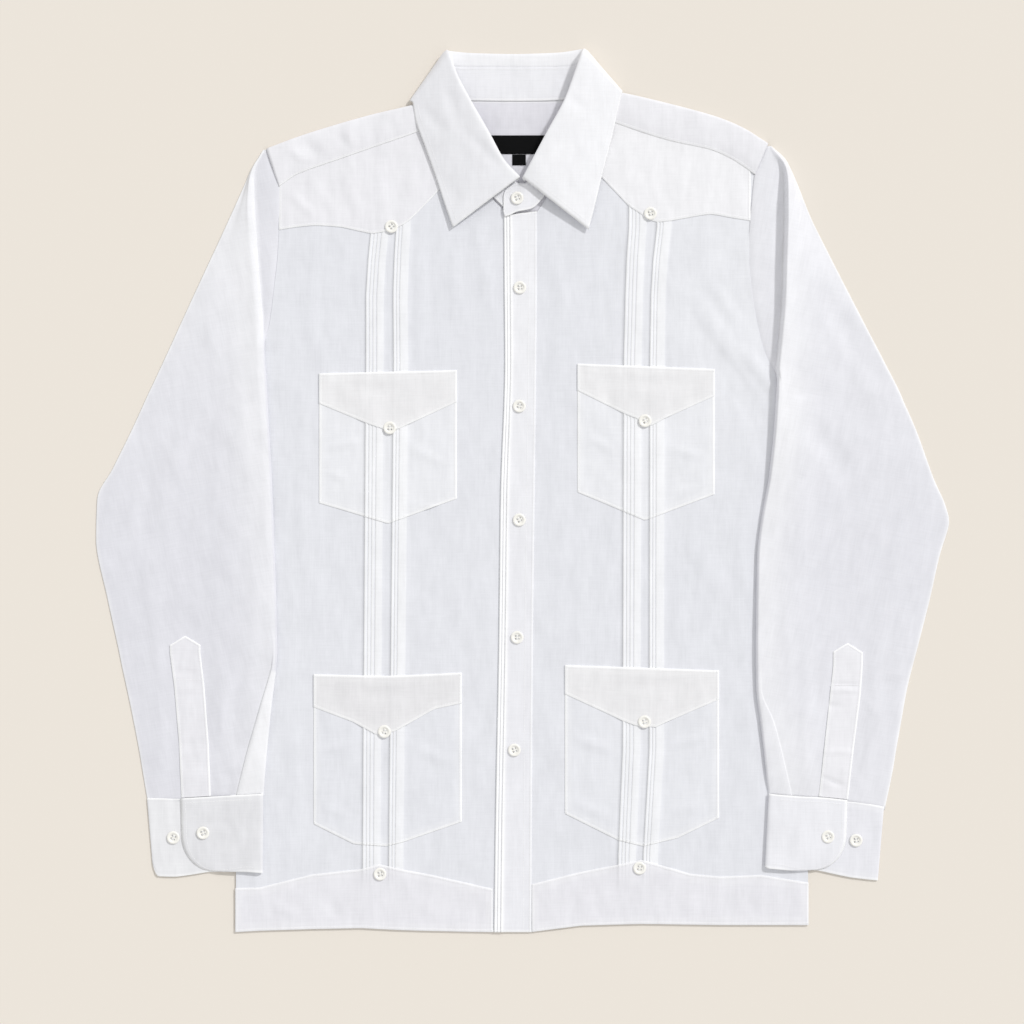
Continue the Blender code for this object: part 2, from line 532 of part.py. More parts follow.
def fronts(collection):
    """The two fronts. The right one runs on under the placket, and the left one ends at it."""
    shared = (-406, -366, -346, -335, -238, -60, 81.5, 88, 102, 120, 150, 180, 218, 242)

    def right_side(y):
        return armhole("right", y) if y <= 280 else seam_x(STRIP_SEAM_RIGHT, y)

    def right_middle(y):
        return seam_x(NECK_RIGHT, y) if y > 243 else smooth(OPENING, "y", "left", y) - GAP

    def left_middle(y):
        return seam_x(NECK_LEFT, y) if y > 256 else smooth(OPENING, "y", "left", y)

    def left_side(y):
        return armhole("left", y) if y <= 291 else seam_x(STRIP_SEAM_LEFT, y)

    front_panel("front_right", (*shared, 249, 255, 264, 280, 290.5, 305.5, 318, 330.5, 338),
                TUCKS_RIGHT, right_side, right_middle, 242, collection)
    front_panel("front_left", (*shared, 256, 268, 280, 291, 306, 314, 322.5, 331, 339.5),
                TUCKS_LEFT, left_middle, left_side, 256, collection)


def back(collection):
    """The back, flat on the surface below its yoke."""
    rows = []
    for y in (-406, -160, 81.5, 88, 102, 126, 152, 190, 218, BACK_YOKE_SEAM_Y - GAP):
        left, right = armhole("right", y), armhole("left", y)
        across = [between(left, right, share) for share in (0, 0.08, 0.2, 0.35, 0.5, 0.65, 0.8, 0.92, 1)]
        rows.append([(x, smooth(HEM, "x", "y", x) if y == -406 else y, BACK_Z) for x in across])
    cloth("back", rows, LINEN, collection)


def back_yoke(collection):
    """The back yoke: up under the shoulders, over the shoulder folds and down in front as two strips."""
    columns = []
    for place in BACK_YOKE:
        path = []
        for y in (BACK_YOKE_SEAM_Y, 278, min(300, place.top_y - 9), min(328, place.top_y - 6),
                  min(346, place.top_y - 3.5), place.top_y - SHOULDER_FOLD):
            share = (y - BACK_YOKE_SEAM_Y) / (place.top_y - BACK_YOKE_SEAM_Y)
            x = between(place.low_x, place.top_x, share)
            if place is BACK_YOKE[0]:
                x = armhole("right", y)
            if place is BACK_YOKE[-1]:
                x = armhole("left", y)
            path.append((x, y, BACK_Z + body_lift(x, y)))
        x, y, z = path[-1]
        if place.seam_x is None:
            path[-1] = (x, place.top_y, z)
            path += [None] * 4
        else:
            seam_z = APPLIED_Z + body_lift(place.seam_x, place.seam_y)
            path.append((place.top_x, place.top_y, z + SHOULDER_FOLD))
            path.append((x, y, z + 2 * SHOULDER_FOLD))
            path.append((between(x, place.seam_x, 0.5), between(y, place.seam_y, 0.5),
                         between(z + 2 * SHOULDER_FOLD, seam_z, 0.5) + 0.4))
            path.append((place.seam_x, place.seam_y, seam_z))
        columns.append(path)
    cloth("back_yoke", columns, LINEN_DOUBLE, collection)


def edged_panel(name, edges, levels, height, finish, collection, added=()):
    """A panel between a top and a low edge, in columns. levels are its rows, as shares of the way down."""
    keys = sorted({edge.x for edge in edges} | set(added))
    rows = []
    for level in levels:
        row = []
        for x in keys:
            y = between(straight(edges, "x", "top", x), straight(edges, "x", "low", x), level)
            row.append((x, y, height(x, y)))
        rows.append(row)
    rows.reverse()
    return cloth(name, rows, finish, collection)


def front_yokes(collection):
    """The two front yokes, sewn onto the fronts."""
    for name, edges in (("front_yoke_right", YOKE_RIGHT), ("front_yoke_left", YOKE_LEFT)):
        edged_panel(name, edges, (0, 0.35, 0.7, 1), body_height(APPLIED_Z + TUCK_HEIGHT), LINEN_DOUBLE, collection)


def tucked_panel(name, edges, rows_y, tucks, z, finish, collection):
    """A panel on a front, made from the front's own points moved out. Its rows stop at its top and low edges."""
    height = front_height(tucks, z)
    left, right = edges[0].x, edges[-1].x
    rows = []
    for row_y in rows_y:
        row = []
        for i, x in enumerate(front_columns(tucks, edges[0].top, left, right)):
            for _ in range(4):
                y = min(max(row_y, straight(edges, "x", "low", x)), straight(edges, "x", "top", x))
                x = front_columns(tucks, y, left, right)[i]
            row.append((x, y, height(x, y)))
        rows.append(row)
    rows.reverse()
    return cloth(name, rows, finish, collection)


def pockets(collection):
    """The four patch pockets, each with a pointed band across its top."""
    for name, edges in POCKETS.items():
        tucks = TUCKS_RIGHT if name.endswith("right") else TUCKS_LEFT
        middle = 40 if "chest" in name else -238
        tucked_panel(name, edges, (math.inf, middle, -math.inf), tucks, APPLIED_Z, LINEN, collection)
    for name, edges in POCKET_BANDS.items():
        tucks = TUCKS_RIGHT if name.endswith("right") else TUCKS_LEFT
        tucked_panel(name, edges, (math.inf, -math.inf), tucks, BAND_Z, LINEN_DOUBLE, collection)


def hem_bands(collection):
    """The bands along the hem of the two fronts."""
    for name, edges, tucks in (("hem_band_right", HEM_BAND_RIGHT, TUCKS_RIGHT),
                               ("hem_band_left", HEM_BAND_LEFT, TUCKS_LEFT)):
        tucked_panel(name, edges, (math.inf, -366, -math.inf), tucks, APPLIED_Z, LINEN_DOUBLE, collection)


def placket(collection):
    """The placket down the left front, which closes over the right one."""
    height = body_height(APPLIED_Z)
    rows = []
    for y in (-406, -296, -137, -8, 120, 185, 230, 253):
        right, left = smooth(OPENING, "y", "right", y), smooth(OPENING, "y", "left", y)
        across = [between(right, left, share) for share in (0, 0.5, 1)]
        lean = 0 if y < 253 else 0.12
        rows.append([(x, y + lean * (x - right), height(x, y)) for x in across])
    cloth("placket", rows, LINEN_STIFF, collection)


def over_body(x, y, side):
    """How far a sleeve or cuff is held up by the body under it: all the way over it, and none beyond its edge."""
    outside = abs(x) - abs(armhole(side, y))
    return 2 * LAYER * (1 - ease(outside / UNDERARM_INSET))


def head_columns(row, out):
    """The first columns of a head row: from the armhole seam over the trough to the sleeve's raised edge."""
    seam_z = APPLIED_Z if row.y > 235 else FRONT_Z
    return [
        None, None, (row.seam, seam_z), (row.strip, row.strip_z), (row.foot, row.foot_z),
        (row.edge, between(row.foot_z, row.edge_z, 0.65)),
        (row.edge + out * min(2.5, 0.3 * abs(row.outer - row.edge)), row.edge_z),
    ]


def arm_columns(row, side, out):
    """The first columns of an arm row: from the underarm seam inwards, round the inner fold and over its pleat."""
    low_z = BACK_Z + 2 * LAYER
    inset = min(SLEEVE_FOLD_INSET, 0.36 * abs(row.seam - row.fold))
    rest_x = armhole(side, row.y) + out
    if row.y > ARMPIT_Y:
        rest_x = between(row.seam, row.fold + out * inset, 0.5)
    ledge = max(abs(row.pleat - row.fold), inset + 1.2)
    return [
        (row.seam, BACK_Z + over_body(row.seam, row.y, side)), (rest_x, low_z), (row.fold + out * inset, low_z),
        (row.fold, between(low_z, row.pleat_z, 0.5)), (row.fold + out * inset, row.pleat_z),
        (row.fold + out * ledge, row.pleat_z), (row.fold + out * (ledge + 1.2), row.edge_z),
    ]


def sleeve_rows(side, head, arm, folds, ends):
    """The points of a sleeve laid down over the side of the body, folded flat and closed at its underarm seam."""
    out = -1 if side == "right" else 1
    rows = []
    for row in (*head, *arm):
        in_head = isinstance(row, Head)
        inner = head_columns(row, out) if in_head else arm_columns(row, side, out)
        start_x, start_z = inner[-1]
        inset = out * min(SLEEVE_FOLD_INSET, 0.25 * abs(row.outer - start_x))
        upper = []
        for share in (0.2, 0.5, 0.8):
            x = between(start_x, row.outer - inset, share)
            lift = 0 if in_head else over_body(x, row.y, side)
            crown = BACK_Z + LAYER + 0.6 + lift + ridges(folds, x, row.y)
            upper.append((x, crown + (start_z - crown) * math.exp(-abs(x - start_x) / 22)))
        low_edge = [(row.outer - out * min(WALL, 0.4 * abs(inset)), (upper[-1][1] + BACK_Z) / 2), (row.outer - inset, BACK_Z)]
        end_x = armhole(side, row.y) + out * SLEEVE_BACK_GAP if in_head else row.seam + out * row.gap
        under_x = between(row.outer, end_x, 0.75)
        lift = over_body(under_x, row.y, side) if row.y < ARMPIT_Y else 0
        under = [(under_x, BACK_Z + lift), (end_x, BACK_Z)]
        path = [*inner, *upper, (row.outer - inset, upper[-1][1]), *low_edge, *under]
        at = (lambda x: straight(ends, "x", "y", x)) if row is arm[-1] else (lambda x: row.y)
        rows.append([place and (place[0], at(place[0]), place[1]) for place in path])
    return rows


def sleeve(side, rows, collection):
    """A sleeve: one cut piece."""
    cloth(f"sleeve_{side}", rows if side == "right" else rows[::-1], LINEN, collection)


def sleeve_top(rows, x, y):
    """Height of a sleeve's upper layer at a point of an arm row."""
    heights, ys = [], []
    for row in rows:
        upper = sorted((place[0], place[2]) for place in row[6:11])
        heights.append(float(np.interp(x, *zip(*upper))))
        ys.append(row[6][1])
    return float(np.interp(-y, [-value for value in ys], heights))


def cuff(side, table, collection):
    """A cuff: a stiff strip folded flat, its rounded upper end closed over the lower one."""
    rows = []
    for i in range(CUFF_ROWS):
        share = i / (CUFF_ROWS - 1)
        row = []
        for n, place in enumerate(table):
            swing = share if n else share ** 3
            row.append((between(place.x_top, place.x_low, swing), between(place.y_top, place.y_low, share), place.z))
        rows.append(row)
    if side == "left":
        rows.reverse()
    cloth(f"cuff_{side}", rows, LINEN_STIFF, collection)


def sleeve_placket(side, spans, under, collection):
    """The pointed strip on a sleeve above its cuff."""
    rows = []
    for span in spans:
        across = (span.right, (span.right + span.left) / 2, span.left)
        rows.append([(x, span.y, sleeve_top(under, x, span.y) + LAYER + 0.2) for x in across])
    rows.reverse()
    cloth(f"sleeve_placket_{side}", rows, LINEN_DOUBLE, collection)


def moved(point, step, distance):
    """A point moved along a direction."""
    return tuple(a + b * distance for a, b in zip(point, step))


def blend(a, b, share):
    """The point that lies at a share of the way from a to b."""
    return tuple(between(p, q, share) for p, q in zip(a, b))


def collar(collection):
    """The collar: a leaf that rolls over the top of a stand, both flattened round the back of the neck."""
    sections = COLLAR_RIGHT + COLLAR_BACK + COLLAR_LEFT
    leaf, stand = [], []
    for section in sections:
        turn = math.radians(section.turn)
        outward = (-math.sin(turn), 0, math.cos(turn))
        gap = between(ROLL_GAP_BACK, ROLL_GAP_FRONT, (1 + math.cos(turn)) / 2)
        inner = moved(blend(section.roll, section.seam, 0.18), outward, -gap / 2)
        outer = moved(blend(section.roll, section.edge, 0.04), outward, gap / 2)
        crown = 0.8 * max(outward[2], 0)
        leaf.append([
            section.seam, inner, section.roll, outer,
            moved(blend(outer, section.edge, 0.33), (0, 0, 1), crown),
            moved(blend(outer, section.edge, 0.68), (0, 0, 1), crown * 0.7),
            section.edge,
        ])
        top = blend(section.seam, section.neck, 0.06)
        stand.append([top, blend(top, section.neck, 0.5), section.neck])
    cloth("collar_leaf", leaf, LINEN_STIFF, collection)
    for place in STAND_TAB:
        stand.append([(place.x, y, STAND_TAB_Z) for y in (place.top, (place.top + place.low) / 2, place.low)])
    cloth("collar_stand", stand, LINEN_STIFF, collection)


def neck_labels(collection):
    """The woven label inside the neck and the size tab below it, both bare."""
    for name, (left, right, low, top) in (("neck_label", LABEL), ("size_tab", SIZE_TAB)):
        rows = [[(x, y, FRONT_Z + body_lift(x, y)) for x in (left, right)] for y in (low, (low + top) / 2, top)]
        cloth(name, rows, LABEL_BLACK, collection)


def button_mesh(cutters):
    """A four-holed button: a turned disc with a raised rim and a dished middle."""
    profile = [(0, 1.5), (0.55, 1.5), (0.72, 1.9), (0.82, 2.4), (0.92, 2.3), (1.0, 1.5), (0.96, 0.5), (0.7, 0), (0, 0)]
    mesh = bpy.data.meshes.new("button")
    shape = bmesh.new()
    points = [shape.verts.new((BUTTON_RADIUS * r * METRES, 0, z * METRES)) for r, z in profile]
    for a, b in zip(points, points[1:]):
        shape.edges.new((a, b))
    shape.to_mesh(mesh)
    shape.free()
    blank = bpy.data.objects.new("button_blank", mesh)
    cutters.objects.link(blank)
    blank.hide_render, blank.display_type = True, "WIRE"
    turn = blank.modifiers.new("Turn", "SCREW")
    turn.steps = turn.render_steps = BUTTON_SIDES
    turn.use_merge_vertices = True
    turn.merge_threshold = 0.00001
    turn.use_normal_calculate = True
    holes = bpy.data.objects.new("button_holes", hole_mesh())
    cutters.objects.link(holes)
    holes.hide_render, holes.display_type = True, "WIRE"
    cut = blank.modifiers.new("Holes", "BOOLEAN")
    cut.operation = "DIFFERENCE"
    cut.object = holes
    graph = bpy.context.evaluated_depsgraph_get()
    graph.update()
    return bpy.data.meshes.new_from_object(blank.evaluated_get(graph))


def hole_mesh():
    """Four upright cutters for the thread holes of a button."""
    shape = bmesh.new()
    for across in (-1, 1):
        for along in (-1, 1):
            made = bmesh.ops.create_cone(
                shape, cap_ends=True, segments=BUTTON_HOLE_SIDES, radius1=BUTTON_HOLE_RADIUS * METRES,
                radius2=BUTTON_HOLE_RADIUS * METRES, depth=4 * BUTTON_HEIGHT * METRES)
            place = (across * BUTTON_HOLE_SPACING * METRES, along * BUTTON_HOLE_SPACING * METRES, 0)
            bmesh.ops.translate(shape, verts=made["verts"], vec=place)
    mesh = bpy.data.meshes.new("button_holes")
    shape.to_mesh(mesh)
    shape.free()
    return mesh


def buttons(collection, cutters):
    """Every button, just clear of the cloth it is sewn to."""
    mesh = button_mesh(cutters)
    for name, (x, y, z) in BUTTONS.items():
        piece = bpy.data.objects.new(name, mesh.copy())
        piece.data.materials.clear()
        piece.data.materials.append(material("button_pearl", PEARL))
        collection.objects.link(piece)
        piece.location = [c * METRES for c in (x, y, z + body_lift(x, y) + WALL / 2 + BUTTON_SEAT)]


def clear_scene():
    """Removes every object of the scene."""
    for thing in list(bpy.data.objects):
        bpy.data.objects.remove(thing)


def main():
    """Builds the shirt piece by piece."""
    clear_scene()
    shirt = bpy.data.collections.new("guayabera_shirt")
    cutters = bpy.data.collections.new("cutters")
    for collection in (shirt, cutters):
        bpy.context.scene.collection.children.link(collection)
    back(shirt)
    back_yoke(shirt)
    fronts(shirt)
    front_yokes(shirt)
    placket(shirt)
    hem_bands(shirt)
    pockets(shirt)
    right = sleeve_rows("right", SLEEVE_RIGHT_HEAD, SLEEVE_RIGHT_ARM, SLEEVE_FOLDS_RIGHT, SLEEVE_END_RIGHT)
    left = sleeve_rows("left", SLEEVE_LEFT_HEAD, SLEEVE_LEFT_ARM, SLEEVE_FOLDS_LEFT, SLEEVE_END_LEFT)
    sleeve("right", right, shirt)
    sleeve("left", left, shirt)
    cuff("right", CUFF_RIGHT, shirt)
    cuff("left", CUFF_LEFT, shirt)
    sleeve_placket("right", SLEEVE_PLACKET_RIGHT, right, shirt)
    sleeve_placket("left", SLEEVE_PLACKET_LEFT, left, shirt)
    collar(shirt)
    neck_labels(shirt)
    buttons(shirt, cutters)


main()
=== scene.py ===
"""A white linen guayabera laid flat: its cloth, tucks, topstitching and buttons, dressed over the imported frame.

Tables are in millimetres in the frame's own axes: X towards the wearer's left, Y towards the collar, Z up.
"""

import logging
import math
from collections.abc import Iterable
from dataclasses import dataclass, field
from enum import Enum
from typing import NamedTuple

import bmesh
import bpy
import numpy as np
from mathutils import Matrix

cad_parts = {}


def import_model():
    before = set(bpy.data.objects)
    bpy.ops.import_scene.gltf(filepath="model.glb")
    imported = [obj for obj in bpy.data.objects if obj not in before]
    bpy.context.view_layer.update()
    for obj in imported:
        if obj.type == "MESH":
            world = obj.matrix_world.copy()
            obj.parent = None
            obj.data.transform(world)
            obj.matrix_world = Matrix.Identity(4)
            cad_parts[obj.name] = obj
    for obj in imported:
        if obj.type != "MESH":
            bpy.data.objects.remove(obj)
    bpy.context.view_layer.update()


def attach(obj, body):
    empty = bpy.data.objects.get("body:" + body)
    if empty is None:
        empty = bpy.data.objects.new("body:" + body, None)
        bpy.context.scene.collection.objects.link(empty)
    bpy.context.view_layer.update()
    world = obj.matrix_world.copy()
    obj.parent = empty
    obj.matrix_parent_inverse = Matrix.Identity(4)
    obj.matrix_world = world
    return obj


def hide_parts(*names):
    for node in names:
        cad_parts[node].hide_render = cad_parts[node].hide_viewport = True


LOG = logging.getLogger("guayabera")
MM = 0.001
BODY = "root"

# Heights of the middle of each layer of cloth
WALL = 0.6
LAYER = 1.3
BACK_Z = 0.5
FRONT_Z = 1.5
APPLIED_Z = 2.35
BAND_Z = 3.1

# The lowest height of the body, and where its grids stop following the hem
LOWEST_Y = -406
HEM_TOP_Y = -380

# How far a fold may sink before the front would pass into the back it lies on
DEEPEST_FOLD = -0.45

Array = np.ndarray
Pair = tuple[float, float]


class Side(Enum):
    """The wearer's right and left, with the direction away from the middle."""

    RIGHT = -1
    LEFT = 1

    @property
    def word(self) -> str:
        """The side's name, as the frame spells it."""
        return self.name.lower()


class Rim(Enum):
    """The four edges of a sheet's grid."""

    FIRST_ROW = "first row"
    LAST_ROW = "last row"
    FIRST_COLUMN = "first column"
    LAST_COLUMN = "last column"


class Point(NamedTuple):
    """A point of an outline."""

    x: float
    y: float


class Span(NamedTuple):
    """The two ends of a width at a height."""

    y: float
    right: float
    left: float


class Edge(NamedTuple):
    """The top and low edge of a panel at a column."""

    x: float
    top: float
    low: float


class Tucks(NamedTuple):
    """Where the first folded edge of each group of tucks runs."""

    y: float
    group_a: float
    group_b: float


class Fold(NamedTuple):
    """A soft ridge, or a trough where its height is negative, from one end to the other."""

    x0: float
    y0: float
    x1: float
    y1: float
    width: float
    height: float


class Shoulder(NamedTuple):
    """A column of the back yoke: its low edge, the shoulder fold and any seam of the strip in front."""

    low_x: float
    top_x: float
    top_y: float
    seam_x: float = math.nan
    seam_y: float = math.nan

    @property
    def hidden(self) -> bool:
        """Whether the column ends at the collar, with no strip in front."""
        return math.isnan(self.seam_x)


class Head(NamedTuple):
    """A row of a sleeve's head, open at the armhole."""

    y: float
    outer: float
    edge: float
    foot: float
    strip: float
    edge_z: float
    foot_z: float
    strip_z: float


class Arm(NamedTuple):
    """A row of a sleeve below its head, closed at the underarm seam."""

    y: float
    outer: float
    fold: float
    pleat: float
    seam: float
    edge_z: float
    pleat_z: float


class Turn(NamedTuple):
    """A column of a cuff's strip, with its height."""

    x_top: float
    x_low: float
    y_top: float
    y_low: float
    z: float


class Section(NamedTuple):
    """A section of the collar. turn is 0 with the leaf above the stand and 180 with it underneath."""

    roll: tuple[float, float, float]
    edge: tuple[float, float, float]
    seam: tuple[float, float, float]
    neck: tuple[float, float, float]
    turn: float


# ---- numbers


def column(rows: Iterable[NamedTuple], name: str) -> Array:
    """One named column of a table.

    Args:
        rows: The table's rows.
        name: The column's name.

    Returns:
        The column's values.
    """
    return np.array([getattr(row, name) for row in rows], float)


def flow(keys: Array, values: Array, at: Array) -> Array:
    """A smooth curve through values that never overshoots them.

    Args:
        keys: The position of each value, in any order.
        values: One value, or one block of values, for each key.
        at: Positions to read, of any shape.

    Returns:
        The values there, in the shape of at followed by that of one value.
    """
    order = np.argsort(keys)
    keys, values = np.asarray(keys, float)[order], np.asarray(values, float)[order]
    at = np.asarray(at, float)
    tail = (1,) * (values.ndim - 1)
    steps = np.diff(keys).reshape(-1, *tail)
    slopes = np.diff(values, axis=0) / steps
    product = slopes[:-1] * slopes[1:]
    total = np.where(product > 0, slopes[:-1] + slopes[1:], 1.0)
    tangents = np.concatenate([slopes[:1], np.where(product > 0, 2 * product / total, 0.0), slopes[-1:]])
    flat = at.ravel()
    i = np.clip(np.searchsorted(keys, flat, side="right") - 1, 0, len(keys) - 2)
    t = np.clip((flat - keys[i]) / np.diff(keys)[i], 0, 1).reshape(-1, *tail)
    rise = 3 * t**2 - 2 * t**3
    result = values[i] * (1 - rise) + values[i + 1] * rise
    result = result + steps[i] * (tangents[i] * (t - 2 * t**2 + t**3) + tangents[i + 1] * (t**3 - t**2))
    return result.reshape(at.shape + values.shape[1:])


def smooth(rows: Iterable[NamedTuple], key: str, name: str, at: Array) -> Array:
    """A table's column read along a smooth curve."""
    return flow(column(rows, key), column(rows, name), at)


def straight(rows: Iterable[NamedTuple], key: str, name: str, at: Array) -> Array:
    """A table's column read along straight lines.

    Args:
        rows: The table's rows.
        key: The column that at is a position in.
        name: The column to read.
        at: The positions.

    Returns:
        The values there.
    """
    keys, values = column(rows, key), column(rows, name)
    order = np.argsort(keys)
    return np.interp(at, keys[order], values[order])


def ease(t: Array) -> Array:
    """0 below 0, 1 above 1 and a soft slope between."""
    t = np.clip(t, 0, 1)
    return t * t * (3 - 2 * t)


def between(a: Array, b: Array, share: Array) -> Array:
    """The value that lies at a share of the way from a to b."""
    return a + (b - a) * share


def steps_along(length: float, step: float, fine_start: bool = True, fine_end: bool = True) -> Array:
    """Positions along a length, close together at its edges, where the cloth is turned in and stitched.

    Args:
        length: The length to divide.
        step: The spacing away from the edges.
        fine_start: Whether the start is an edge.
        fine_end: Whether the end is an edge.

    Returns:
        Shares of the length, from 0 to 1.
    """
    fine = np.array([0.35, 0.8, 1.4, 2.2, 3.4, 5.0, 7.5])
    fine = fine[fine < length * 0.4]
    start = fine if fine_start else fine[:0]
    end = length - fine[::-1] if fine_end else fine[:0]
    low = start[-1] if len(start) else 0.0
    high = end[0] if len(end) else length
    count = max(int(math.ceil((high - low) / step)), 1)
    middle = np.linspace(low, high, count + 1)
    return np.unique(np.concatenate([[0.0], start, middle, end, [length]])) / length


def ridges(folds: Iterable[Fold], x: Array, y: Array) -> Array:
    """Height of soft folds at points: each is a rounded ridge that dies away at both ends.

    Args:
        folds: The folds.
        x: Positions across.
        y: Positions along.

    Returns:
        The folds' summed height.
    """
    height = np.zeros(np.broadcast(x, y).shape)
    for fold in folds:
        along_x, along_y = fold.x1 - fold.x0, fold.y1 - fold.y0
        length = math.hypot(along_x, along_y)
        share = ((x - fold.x0) * along_x + (y - fold.y0) * along_y) / length**2
        away = np.abs((x - fold.x0) * along_y - (y - fold.y0) * along_x) / length / fold.width
        body = np.sin(np.pi * np.clip(share, 0, 1)) * np.cos(np.pi * np.clip(away, 0, 1) / 2) ** 2
        height = height + fold.height * body
    return height


def to_linear(code: str) -> tuple[float, float, float, float]:
    """Turns an sRGB hex value such as #f4f4f4 to linear colour with full alpha.

    Args:
        code: The hex value.

    Returns:
        Red, green, blue and alpha.
    """
    parts = [int(code[i : i + 2], 16) / 255 for i in (1, 3, 5)]
    red, green, blue = (c / 12.92 if c <= 0.04045 else ((c + 0.055) / 1.055) ** 2.4 for c in parts)
    return red, green, blue, 1.0


# ---- finishes


def add_node(tree: bpy.types.NodeTree, kind: str, sockets: dict | None = None,
             **settings: object) -> bpy.types.Node:
    """Adds a node with its settings, values and links.

    Args:
        tree: The tree to add it to.
        kind: The node's type.
        sockets: For each input, by name or number, a value or the output that feeds it.
        **settings: The node's own settings.

    Returns:
        The new node.
    """
    made = tree.nodes.new(kind)
    for name, value in settings.items():
        setattr(made, name, value)
    for key, value in (sockets or {}).items():
        if isinstance(value, bpy.types.NodeSocket):
            tree.links.new(value, made.inputs[key])
        else:
            made.inputs[key].default_value = value
    return made


def new_material(name: str) -> tuple[bpy.types.Material, bpy.types.NodeTree, bpy.types.Node]:
    """A new material with its tree and its Principled shader.

    Args:
        name: The material's name.

    Returns:
        The material, its tree and its shader.
    """
    material = bpy.data.materials.new(name)
    material.use_nodes = True
    tree = material.node_tree
    return material, tree, tree.nodes["Principled BSDF"]


@dataclass(frozen=True)
class Linen:
    """Plain-woven washed linen: matt, with thicker threads here and there both ways, and a soft crumple.

    The real thread spacing of 0.5 mm is too fine to show, so the slubs are drawn about 1.2 mm wide.
    """

    name: str
    colour: str
    # Colour at full whiteness: extra layers of cloth, painted highlights and painted light
    folded: str
    crumple: float = 0.5
    slub_across: float = 800.0
    slub_along: float = 42.0
    roughness: float = 0.88

    def material(self) -> bpy.types.Material:
        """Builds the finish.

        Returns:
            The material, whose slubs follow the cloth's own map and which turns whiter where its attribute says:
            over extra layers of cloth, and as painted highlights and painted light.
        """
        material, tree, shader = new_material(self.name)
        cloth = add_node(tree, "ShaderNodeUVMap", uv_map="cloth").outputs[0]
        threads = []
        slubs = ((self.slub_across, self.slub_along, 1.0), (self.slub_along, self.slub_across, 7.0))
        for across, along, start in slubs:
            place = add_node(tree, "ShaderNodeMapping", {
                "Vector": cloth, "Scale": (across, along, 1), "Location": (start, start, 0)})
            noise = add_node(tree, "ShaderNodeTexNoise", {
                "Vector": place.outputs[0], "Scale": 1.0, "Detail": 3.0})
            threads.append(noise.outputs["Fac"])
        weave = add_node(tree, "ShaderNodeMath", {0: threads[0], 1: threads[1]}, operation="ADD").outputs[0]
        streaks = add_node(tree, "ShaderNodeMapping", {"Vector": cloth, "Scale": (95.0, 30.0, 1.0)}).outputs[0]
        washed = add_node(tree, "ShaderNodeTexNoise", {
            "Vector": streaks, "Scale": 1.0, "Detail": 5.0, "Roughness": 0.6}).outputs["Fac"]
        mottle = add_node(tree, "ShaderNodeMath", {0: washed, 1: 2.1, 2: weave},
                          operation="MULTIPLY_ADD").outputs[0]
        tone = add_node(tree, "ShaderNodeMapRange", {
            "Value": mottle, "From Min": 1.5, "From Max": 2.6, "To Min": 0.945, "To Max": 1.04}).outputs[0]
        # Whiter over extra layers of cloth, and as painted highlights on edges and folds and painted light
        layers_and_painted_light = add_node(tree, "ShaderNodeAttribute", attribute_name="layers_and_painted_light").outputs["Fac"]
        base = add_node(tree, "ShaderNodeMix", {0: layers_and_painted_light, 6: to_linear(self.colour), 7: to_linear(self.folded)},
                        data_type="RGBA").outputs[2]
        toned = add_node(tree, "ShaderNodeVectorMath", {0: base, "Scale": tone}, operation="SCALE").outputs[0]
        tree.links.new(toned, shader.inputs["Base Color"])
        folds = add_node(tree, "ShaderNodeMapping", {"Vector": cloth, "Scale": (34.0, 20.0, 1.0)}).outputs[0]
        crumple = add_node(tree, "ShaderNodeTexNoise", {
            "Vector": folds, "Scale": 1.0, "Detail": 2.0, "Roughness": 0.45})
        wave = add_node(tree, "ShaderNodeBump", {
            "Height": crumple.outputs["Fac"], "Strength": self.crumple, "Distance": 4.0 * MM}).outputs[0]
        bump = add_node(tree, "ShaderNodeBump", {
            "Height": weave, "Strength": 0.14, "Distance": 0.25 * MM, "Normal": wave}).outputs[0]
        tree.links.new(bump, shader.inputs["Normal"])
        shader.inputs["Roughness"].default_value = self.roughness
        shader.inputs["Specular IOR Level"].default_value = 0.2
        shader.inputs["Sheen Weight"].default_value = 0.06
        shader.inputs["Sheen Roughness"].default_value = 0.6
        return material


@dataclass(frozen=True)
class Pearl:
    """Cast polyester resin made to look like shell: creamy, half glossy, with faint cloudy layers."""

    name: str
    light: str
    dark: str
    roughness: float = 0.28

    def material(self) -> bpy.types.Material:
        """Builds the finish.

        Returns:
            The material.
        """
        material, tree, shader = new_material(self.name)
        place = add_node(tree, "ShaderNodeTexCoord").outputs["Object"]
        cloud = add_node(tree, "ShaderNodeTexNoise", {
            "Vector": place, "Scale": 240.0, "Detail": 3.0, "Distortion": 1.2})
        base = add_node(tree, "ShaderNodeMix", {
            0: cloud.outputs["Fac"], 6: to_linear(self.light), 7: to_linear(self.dark)},
            data_type="RGBA").outputs[2]
        tree.links.new(base, shader.inputs["Base Color"])
        shader.inputs["Roughness"].default_value = self.roughness
        shader.inputs["Coat Weight"].default_value = 0.25
        shader.inputs["Coat Roughness"].default_value = 0.15
        return material


@dataclass(frozen=True)
class Satin:
    """Black damask label tape: a tight satin weave with a slight gloss along its fine ribs."""

    name: str
    colour: str
    rib: float = 2200.0

    def material(self) -> bpy.types.Material:
        """Builds the finish.

        Returns:
            The material.
        """
        material, tree, shader = new_material(self.name)
        cloth = add_node(tree, "ShaderNodeUVMap", uv_map="cloth").outputs[0]
        ribs = add_node(tree, "ShaderNodeTexWave", {
            "Vector": cloth, "Scale": self.rib / 6.28, "Distortion": 0.4}, bands_direction="Y")
        bump = add_node(tree, "ShaderNodeBump", {
            "Height": ribs.outputs["Fac"], "Strength": 0.3, "Distance": 0.1 * MM})
        tree.links.new(bump.outputs[0], shader.inputs["Normal"])
        shader.inputs["Base Color"].default_value = to_linear(self.colour)
        shader.inputs["Roughness"].default_value = 0.7
        shader.inputs["Specular IOR Level"].default_value = 0.12
        return material


